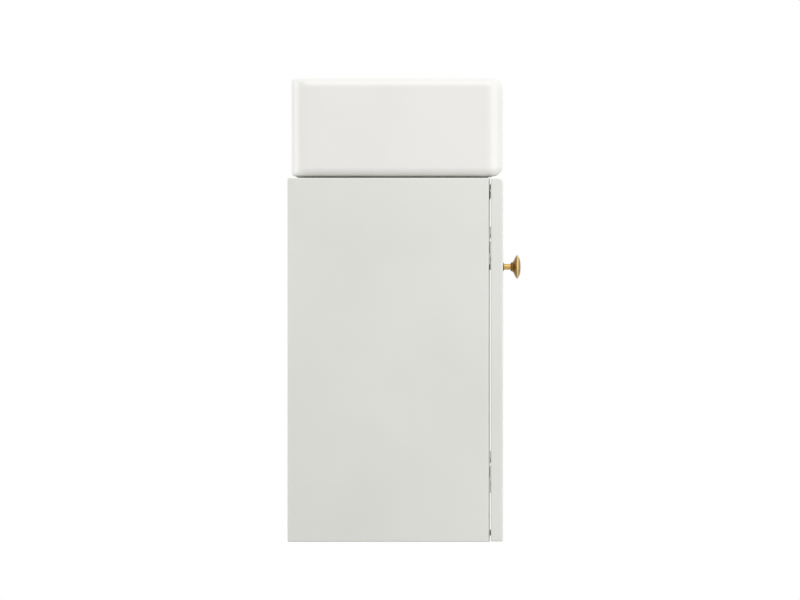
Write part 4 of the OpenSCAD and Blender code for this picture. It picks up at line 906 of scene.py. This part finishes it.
def thread(radius, low, high, depth):
    """Ridge of a pipe thread round the waste's axis between two heights, in millimetres."""
    return grow(thread_tree, thread_keys, [((0, DRAIN_Y, low + depth / 2), (0, 0, 1))], **{
        "Radius": radius * MM, "Length": (high - low - depth) * MM, "Pitch": THREAD_PITCH * MM,
        "Depth": depth * MM, "Material": chrome,
    })


def ring_of(inner, outer, low, high, ease=0.3):
    """Flat ring round the waste's axis with eased edges."""
    return revolve([
        (inner, low + ease), (inner + ease, low), (outer - ease, low), (outer, low + ease),
        (outer, high - ease), (outer - ease, high), (inner + ease, high), (inner, high - ease),
    ], waste_axis, 72, closed=True)


waste_shell = revolve([
    (TAIL_BORE_R, THREAD_LOW_Z + 0.8), (TAIL_BORE_R + 0.6, THREAD_LOW_Z), (THREAD_CORE_R - 0.6, THREAD_LOW_Z),
    (THREAD_CORE_R, THREAD_LOW_Z + 0.6), (THREAD_CORE_R, THREAD_HIGH_Z), (TAIL_R - 0.75, THREAD_HIGH_Z + 0.2),
    (TAIL_R - 0.75, THREAD_HIGH_Z + 1.2), (TAIL_R, THREAD_HIGH_Z + 1.6), (TAIL_R, FLANGE_Z),
    (FLANGE_R - 1.2, FLANGE_Z), (FLANGE_R - 0.3, FLANGE_Z + 0.2), (FLANGE_R, FLANGE_Z + 0.8),
    (FLANGE_R - 0.2, FLANGE_Z + 1.5), (FLANGE_R - 1.0, FLANGE_Z + 2.3), (FLANGE_R - 2.2, FLANGE_TOP_Z - 0.2),
    (FLANGE_R - 3.5, FLANGE_TOP_Z), (FLANGE_R - 5, FLANGE_TOP_Z - 0.2),
    (TAIL_BORE_R + 3.5, FLANGE_TOP_Z - 0.9), (TAIL_BORE_R + 1.2, FLANGE_TOP_Z - 1.3),
    (TAIL_BORE_R + 0.3, FLANGE_TOP_Z - 1.9), (TAIL_BORE_R, FLANGE_TOP_Z - 3),
], waste_axis, 96, closed=True)
waste_changes = [("DIFFERENCE", block(
    (-WINDOW_X, DRAIN_Y - 40, WINDOW_LOW_Z), (WINDOW_X, DRAIN_Y + 40, WINDOW_HIGH_Z)
))]
for spoke in range(3):
    bar = block(
        (HUB_BORE_R + 0.5, -SPOKE_T / 2, HUB_HIGH_Z - SPOKE_H), (TAIL_BORE_R + 1, SPOKE_T / 2, HUB_HIGH_Z)
    )
    turn = Matrix.Rotation(math.radians(120 * spoke), 4, "Z")
    bmesh.ops.transform(bar, verts=bar.verts, matrix=waste_axis @ turn)
    waste_changes.append(("UNION", bar))
waste_changes += [("UNION", ring_of(HUB_BORE_R, HUB_R, HUB_LOW_Z, HUB_HIGH_Z)), ("DIFFERENCE", revolve(
    [(0, HUB_LOW_Z - 1), (HUB_BORE_R, HUB_LOW_Z - 1), (HUB_BORE_R, HUB_HIGH_Z + 1), (0, HUB_HIGH_Z + 1)],
    waste_axis, 72,
))]
waste = bmesh.new()
for part in (
    carve("waste", waste_shell, waste_changes), thread(TAIL_R, THREAD_LOW_Z + 0.6, THREAD_HIGH_Z, THREAD_H)
):
    waste.from_mesh(part)
    bpy.data.meshes.remove(part)
add_piece("chromed_waste", waste, [chrome], "cabinet", "chrome", "waste_body")

# Rubber: moulded black, dull, with a faint bloom on it
rubber = make_material(
    "rubber", {"IOR": 1.5}, ("#232323", "#34332F", 9, 3), (0.6, 0.8, 4, 3), (0.05, 0.5, 1.2, 3)
)

gasket = ring_of(TAIL_R + 0.1, FLANGE_R - 2, DRAIN_Z, FLANGE_Z, 0.4)
add_piece("rubber_gasket", gasket, [rubber], "cabinet", "rubber", "waste_gasket")
add_piece("rubber_washer", revolve([
    (TAIL_R + 0.1, NUT_HIGH_Z + 0.4), (TAIL_R + 0.6, NUT_HIGH_Z), (FLANGE_R - 0.6, NUT_HIGH_Z),
    (FLANGE_R, NUT_HIGH_Z + 0.6), (FLANGE_R, DRAIN_UNDER_Z - 0.6), (FLANGE_R - 0.6, DRAIN_UNDER_Z),
    (DRAIN_R - 0.4, DRAIN_UNDER_Z), (DRAIN_R - 1.4, DRAIN_UNDER_Z + 3.7), (DRAIN_R - 1.7, DRAIN_UNDER_Z + 4),
    (TAIL_R + 0.1, DRAIN_UNDER_Z + 3.8),
], waste_axis, 72, closed=True), [rubber], "cabinet", "rubber", "waste_washer")

# Brass as it was forged and turned: yellow, with a dull skin on the hexagon
raw_brass = make_material(
    "raw_brass", METAL, ("#A9863F", "#CDAA63", 10, 3), (0.26, 0.42, 3, 3), (0.03, 0.4, 1.0, 3)
)

nut_corners = [
    (NUT_CORNER_R * math.cos(turn), DRAIN_Y + NUT_CORNER_R * math.sin(turn))
    for turn in [math.radians(60 * i) for i in range(6)]
]
hexagon = loft([[(x, y, z) for x, y in nut_corners] for z in (NUT_LOW_Z, NUT_HIGH_Z - 1)])
nut = carve("nut", hexagon, [
    ("INTERSECT", revolve([
        (0, NUT_LOW_Z), (NUT_CORNER_R - 3.5, NUT_LOW_Z), (NUT_CORNER_R + 0.5, NUT_LOW_Z + 2.3),
        (NUT_CORNER_R + 0.5, NUT_HIGH_Z), (0, NUT_HIGH_Z),
    ], waste_axis, 72)),
    ("UNION", ring_of(TAIL_R - 1, NUT_FLANGE_R, NUT_HIGH_Z - NUT_FLANGE_H, NUT_HIGH_Z, 0.5)),
    ("DIFFERENCE", revolve([
        (0, NUT_LOW_Z - 1), (TAIL_R + 1.6, NUT_LOW_Z - 1), (TAIL_R + 1.1, NUT_LOW_Z),
        (TAIL_R + 0.1, NUT_LOW_Z + 1), (TAIL_R + 0.1, NUT_HIGH_Z - 1), (TAIL_R + 1.1, NUT_HIGH_Z),
        (TAIL_R + 1.6, NUT_HIGH_Z + 1), (0, NUT_HIGH_Z + 1),
    ], waste_axis, 72)),
])
add_piece("hexagon_nut", nut, [raw_brass], "cabinet", "nut_brass", "waste_nut")


# Plug
# A turned, chromed dome on a stem that slides in the spider. One press shuts it and the next lets it rise.
# A rubber ring under it closes the mouth.
PLUG_R, PLUG_LOW_Z, SHOULDER_Z, PLUG_TOP_Z = 29.5, 165.2, 167.3, 169.7
STEM_R, STEM_END_Z = 4.0, 121.9
SEAL_R, SEAL_LOW_Z = 17.65, 163.2
PLUG_STEPS = 12

plug_outline = [
    (0, STEM_END_Z), (STEM_R - 1.2, STEM_END_Z), (STEM_R, STEM_END_Z + 1.2), (STEM_R, STEM_END_Z + 2.6),
    (STEM_R - 0.6, STEM_END_Z + 3), (STEM_R - 0.6, STEM_END_Z + 4), (STEM_R, STEM_END_Z + 4.4),
    (STEM_R, PLUG_LOW_Z - 0.6), (STEM_R + 0.6, PLUG_LOW_Z), (PLUG_R - 0.7, PLUG_LOW_Z),
    (PLUG_R - 0.1, PLUG_LOW_Z + 0.3), (PLUG_R, PLUG_LOW_Z + 0.9), (PLUG_R - 0.15, PLUG_LOW_Z + 1.5),
]
for i in range(PLUG_STEPS):
    turn = math.pi / 2 * i / PLUG_STEPS
    rise = (PLUG_TOP_Z - SHOULDER_Z) * math.sin(turn)
    plug_outline.append(((PLUG_R - 0.6) * math.cos(turn), SHOULDER_Z + rise))
plug_outline.append((0, PLUG_TOP_Z))
add_piece("domed_plug", revolve(plug_outline, waste_axis, 96), [chrome], "plug", "chrome", "waste_plug")
add_piece("rubber_seal", revolve([
    (STEM_R + 0.3, SEAL_LOW_Z + 0.4), (STEM_R + 0.7, SEAL_LOW_Z), (13, SEAL_LOW_Z), (15.5, SEAL_LOW_Z + 0.1),
    (SEAL_R - 0.45, SEAL_LOW_Z + 0.6), (SEAL_R, SEAL_LOW_Z + 1.2), (SEAL_R - 0.15, PLUG_LOW_Z - 0.2),
    (SEAL_R - 0.85, PLUG_LOW_Z), (STEM_R + 0.3, PLUG_LOW_Z),
], waste_axis, 72, closed=True), [rubber], "plug", "rubber", "plug_seal")


# Door
# The same sprayed fibreboard as the sides. Its outer top edge is rounded more than the others.
# Its inner face has a drilled seat for each hinge cup and small bores for the screws.
door_board = whole_faces("door")
paint_cut_faces(door_board, *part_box("door"), 0.9)
add_piece("lacquered_door", door_board, [satin_lacquer, raw_fibreboard], "door", "lacquer", "door")


# Knob
# Brass, turned on a lathe and polished, with a fine ring left here and there by the tool.
# A screw through the door holds it.
KNOB_X, KNOB_Z, DOOR_Y, DOOR_INNER_Y = 161.5, 9.0, -292.5, -276.5
KNOB_RIM, KNOB_STEM, KNOB_REACH = 16.5, 4.0, 24.0
STEM_L, KNOB_COLLAR, COLLAR_Y = 10.0, 6.4, 12.2
DOME_BEND = 2.8
RIM_BACK, RIM_FRONT = 18.4, 20.2
KNOB_STEPS, BEND_STEPS = 24, 8
RING_PITCH = 1.57834
# A wave texture of scale 1 repeats after this length
WAVE_LENGTH = math.tau / 20
BRASS_CLOUD_RGB = "#A9823E"
BRASS_CLOUDS = 0.3
# Painted light by the distance from the door: painted highlights on the stem and the rim, and painted shade
# at the foot, at the collar's neck, in the hollow of the bell and near the dome's tip
BRASS_PAINTED_LIGHT = (
    (0.0, "#7E5F28"), (0.9, "#7E5F28"), (1.6, "#D9B66F"), (9.8, "#D9B06A"), (10.6, "#7A541B"),
    (11.4, "#8A6328"), (12.2, "#B08A4C"), (13.4, "#9A7238"), (16.5, "#A47C3E"), (18.4, "#C4A05D"),
    (19.6, "#EBCB8C"), (20.6, "#E0C083"), (22.0, "#84703E"), (23.0, "#927C48"), (24.0, "#C4A668"),
)

knob_outline = [
    (0, 0.2), (1.2, 0.2), (KNOB_STEM + 1.4, 0.0), (KNOB_STEM + 1.7, 0.25), (KNOB_STEM + 1.7, 0.6),
    (KNOB_STEM + 1.45, 0.9), (KNOB_STEM + 0.7, 1.1), (KNOB_STEM + 0.15, 1.5), (KNOB_STEM, 2.1),
    (KNOB_STEM, STEM_L - 0.2),
]
for i in range(BEND_STEPS + 1):
    turn = math.pi / 2 * i / BEND_STEPS
    knob_outline.append((
        KNOB_COLLAR - (KNOB_COLLAR - KNOB_STEM) * (1 - math.sin(turn)),
        COLLAR_Y - (COLLAR_Y - STEM_L) * math.cos(turn),
    ))
rim_r = (RIM_FRONT - RIM_BACK) / 2
for i in range(1, KNOB_STEPS + 1):
    share = i / KNOB_STEPS
    knob_outline.append((
        KNOB_COLLAR + (KNOB_RIM - rim_r - KNOB_COLLAR) * (1 - math.cos(math.pi * share)) / 2,
        COLLAR_Y + (RIM_BACK - COLLAR_Y) * share,
    ))
for i in range(1, BEND_STEPS):
    turn = math.pi * i / BEND_STEPS
    knob_outline.append((KNOB_RIM - rim_r * (1 - math.sin(turn)), RIM_BACK + rim_r * (1 - math.cos(turn))))
for i in range(KNOB_STEPS, -1, -1):
    share = i / KNOB_STEPS
    dome = KNOB_REACH - (KNOB_REACH - RIM_FRONT) * share**DOME_BEND
    knob_outline.append(((KNOB_RIM - rim_r) * share, dome))

# Turned brass: the tool leaves rings 0.3 mm apart round the axis, drawn at 1.6 mm so that they show.
# Its colour has painted highlights on the stem and the rim, and painted shade at its foot, round the collar,
# in the bell and near the tip of the dome
turned_brass, tree, shader = start_material("turned_brass", {"Metallic": 1.0})
place = add_node(tree, "ShaderNodeTexCoord")
on_axis = add_node(tree, "ShaderNodeMapping", {
    "Vector": place.outputs["Object"], "Location": (-KNOB_X * MM, 0, -KNOB_Z * MM), "Scale": (1, 0.4, 1),
})
rings = add_node(tree, "ShaderNodeTexWave", {
    "Vector": on_axis, "Scale": WAVE_LENGTH / (RING_PITCH * MM), "Distortion": 0.4, "Detail": 1.0,
}, wave_type="RINGS", rings_direction="Y")
depth = add_node(tree, "ShaderNodeSeparateXYZ", {0: place.outputs["Object"]})
share = add_node(tree, "ShaderNodeMapRange", {
    "Value": depth.outputs["Y"], "From Min": DOOR_Y * MM, "From Max": (DOOR_Y - KNOB_REACH) * MM,
})
# Painted highlights and painted shade, set by the distance from the door
painted_light = add_node(tree, "ShaderNodeValToRGB", {"Fac": share})
stops = painted_light.color_ramp.elements
while len(stops) < len(BRASS_PAINTED_LIGHT):
    stops.new(0.5)
for stop, (from_door, tone) in zip(stops, BRASS_PAINTED_LIGHT):
    stop.position = from_door / KNOB_REACH
    stop.color = linear(tone)
clouds = add_node(tree, "ShaderNodeMapRange", {
    "Value": noise(tree, 9, 3), "From Min": 0.4, "From Max": 0.7, "To Max": BRASS_CLOUDS,
})
brass_tone = add_node(tree, "ShaderNodeMix", {
    0: clouds, 6: painted_light, 7: linear(BRASS_CLOUD_RGB),
}, data_type="RGBA")
tree.links.new(brass_tone.outputs[2], shader.inputs["Base Color"])
roughen(tree, shader, rings.outputs["Fac"], 0.14, 0.24)
emboss(tree, shader, rings.outputs["Fac"], 0.02, 0.35)

add_piece(
    "turned_knob", revolve(knob_outline, level_to_front(KNOB_X, DOOR_Y, KNOB_Z), 96), [turned_brass],
    "door", "knob_brass", "knob",
)
add_screws("knob_screw_threaded", pan_head(8, 2.6), 4, 26, 0.9, 0.8, [
    ((KNOB_X, DOOR_INNER_Y, KNOB_Z), (0, 1, 0))
], "door", "knob_screw")


# Bumpers
# Two soft clear-white pads on the door's free edge, glued on, which meet the side panel.
BUMPER_X, BUMPER_ZS = 192.0, (-352.5, 117.5)

# Polyurethane: milky, and dull where the side panel has pressed on it
soft_pad = make_material(
    "soft_pad", {"IOR": 1.48, "Subsurface Weight": 0.2, "Subsurface Radius": (0.002, 0.002, 0.002)},
    ("#DADAD6", "#E6E6E3", 4), (0.3, 0.45, 2), (0.02, 0.3, 1.5),
)

pad = revolve([
    (0, 0), (4.5, 0), (4.5, 0.5), (4.35, 1.1), (4.0, 1.6), (3.5, 1.95), (2.8, 2.12), (1.5, 2.18), (0, 2.2),
], count=32)
add_copies("soft_bumpers", pad, [((BUMPER_X, DOOR_INNER_Y, z), (0, 1, 0)) for z in BUMPER_ZS], soft_pad,
           "door", "soft_plastic", "door_bumpers")


# Hinges
# Concealed hinges of nickel-plated pressed steel: a cup let into the door, and an arm that turns on its pin.
# The arm is screwed to a die-cast plate on the side panel. The plate and the cup have screws of their own.
HINGE_ZS = (35.0, -270.0)
CUP_SCREW_X, CUP_SCREW_Y, CUP_SCREW_DZ = -169.5, -275.5, 22.5
PLATE_SCREW_X, PLATE_SCREW_Y, PLATE_SCREW_DZ = -181.8, -237.0, 16.0
ARM_SCREW_X, ARM_SCREW_YS = -172.9, (-248.1, -222.0)

# Nickel plate: warm grey and bright, with faint lines from the press
nickel = make_material(
    "nickel", METAL, ("#B9B6AF", "#D2CFC8", 8, 3), (0.14, 0.26, 4, 3, (1, 1, 0.15)),
    (0.01, 0.4, 1.0, 2, (1, 1, 0.15)),
)

for place in ("upper", "lower"):
    for part, material, slot, body, width in (
        ("cup", nickel, "steel", "door", 0.25), ("pin", plated_steel, "steel", "door", 0.3),
        ("arm", nickel, "steel", "cabinet", 0.2), ("plate", cast_zinc, "zinc", "cabinet", 0.4),
    ):
        node = f"hinge_{part}_{place}"
        shape = round_edges(whole_faces(node), width)
        add_piece(f"{part}_of_{place}_hinge", shape, [material], body, slot, node)

add_sunk_screws("cup_screws_threaded", 6.5, 3, 12, 1.2, 3, [
    ((CUP_SCREW_X, CUP_SCREW_Y, z + dz), (0, 1, 0)) for z in HINGE_ZS for dz in (-CUP_SCREW_DZ, CUP_SCREW_DZ)
], "door", "cup_screws")
add_sunk_screws("plate_screws_threaded", 10, 6, 12.5, 1.8, 2, [
    ((PLATE_SCREW_X, PLATE_SCREW_Y, z + dz), (1, 0, 0))
    for z in HINGE_ZS for dz in (-PLATE_SCREW_DZ, PLATE_SCREW_DZ)
], "cabinet", "plate_screws")
add_screws("arm_screws_threaded", pan_head(8, 2.4), 5, 7.5, 0.8, 0.6, [
    ((ARM_SCREW_X, y, z), (1, 0, 0)) for z in HINGE_ZS for y in ARM_SCREW_YS
], "cabinet", "arm_screws")


# Catch
# A white moulded housing under the top panel holds a ferrite magnet between two steel poles.
# It pulls a plated steel strike that is screwed to the door.
STRIKE_AT = (130.0, -275.0, 107.0)
CATCH_SCREW_XS, CATCH_SCREW_Y, CATCH_SCREW_Z = (113.0, 147.0), -261.7, 111.0

# Moulded plastic: white acetal with the faint grain of the mould
moulded_white = make_material(
    "moulded_white", {"IOR": 1.48}, ("#DCDBD6", "#E5E4E0", 20), (0.38, 0.5, 5, 3), (0.03, 0.5, 0.9, 3)
)

# Ferrite between its poles: charcoal grey, fired and ground
ferrite = make_material(
    "ferrite", {"Metallic": 0.3}, ("#3A3A3C", "#525254", 3, 4), (0.4, 0.6, 2, 4), (0.03, 0.5, 0.7, 4)
)

for node, name, material, slot, body, width in (
    ("catch_body", "moulded_catch", moulded_white, "white_plastic", "cabinet", 0.5),
    ("catch_magnet", "magnet_and_poles", ferrite, "magnet", "cabinet", 0.2),
    ("catch_strike", "steel_strike", plated_steel, "steel", "door", 0.3),
):
    add_piece(name, round_edges(whole_faces(node), width), [material], body, slot, node)
add_sunk_screws("strike_screw_threaded", 6, 3, 12, 1.2, 3, [(STRIKE_AT, (0, 1, 0))], "door", "strike_screw")
add_screws("catch_screws_threaded", pan_head(6, 2), 3, 12, 1.2, 3, [
    ((x, CATCH_SCREW_Y, CATCH_SCREW_Z), (0, 0, -1)) for x in CATCH_SCREW_XS
], "cabinet", "catch_screws")


# Hangers and wall plates
# A moulded housing is pegged into each side panel. Its steel hook reaches through the back panel and over the
# turned edge of a galvanised plate, which is screwed to the wall. Two screws in each housing set the height.
HANGER_X, HANGER_Y, HANGER_SCREW_ZS = 175.0, -62.0, (16.0, 48.0)

# Galvanised steel: zinc frozen in flat crystals of some 9 mm, each a little lighter or duller than the next
galvanised, tree, shader = start_material("galvanised", {"Metallic": 1.0})
place = add_node(tree, "ShaderNodeTexCoord")
spangle = add_node(tree, "ShaderNodeTexVoronoi", {"Vector": place.outputs["Object"], "Scale": 1 / (9 * MM)})
tint(tree, shader, spangle.outputs["Color"], "#A3A8AB", "#C3C7C9", 0.1, 0.9)
roughen(tree, shader, spangle.outputs["Color"], 0.3, 0.5)
emboss(tree, shader, noise(tree, 2, 3), 0.02, 0.4)

for side in ("left", "right"):
    for part, material, slot, width in (
        ("hanger_housing", moulded_white, "white_plastic", 0.7), ("hanger_hook", plated_steel, "steel", 0.3),
        ("wall_plate", galvanised, "galvanised", 0.4),
    ):
        node = f"{part}_{side}"
        shape = round_edges(whole_faces(node), width)
        add_piece(f"{part}_of_{side}_side", shape, [material], "cabinet", slot, node)
add_screws("hanger_screws_threaded", pan_head(9, 1.5), 6, 4.5, 1, 0.6, [
    ((side * HANGER_X, HANGER_Y, z), (0, -1, 0)) for side in (1, -1) for z in HANGER_SCREW_ZS
], "cabinet", "hanger_screws")
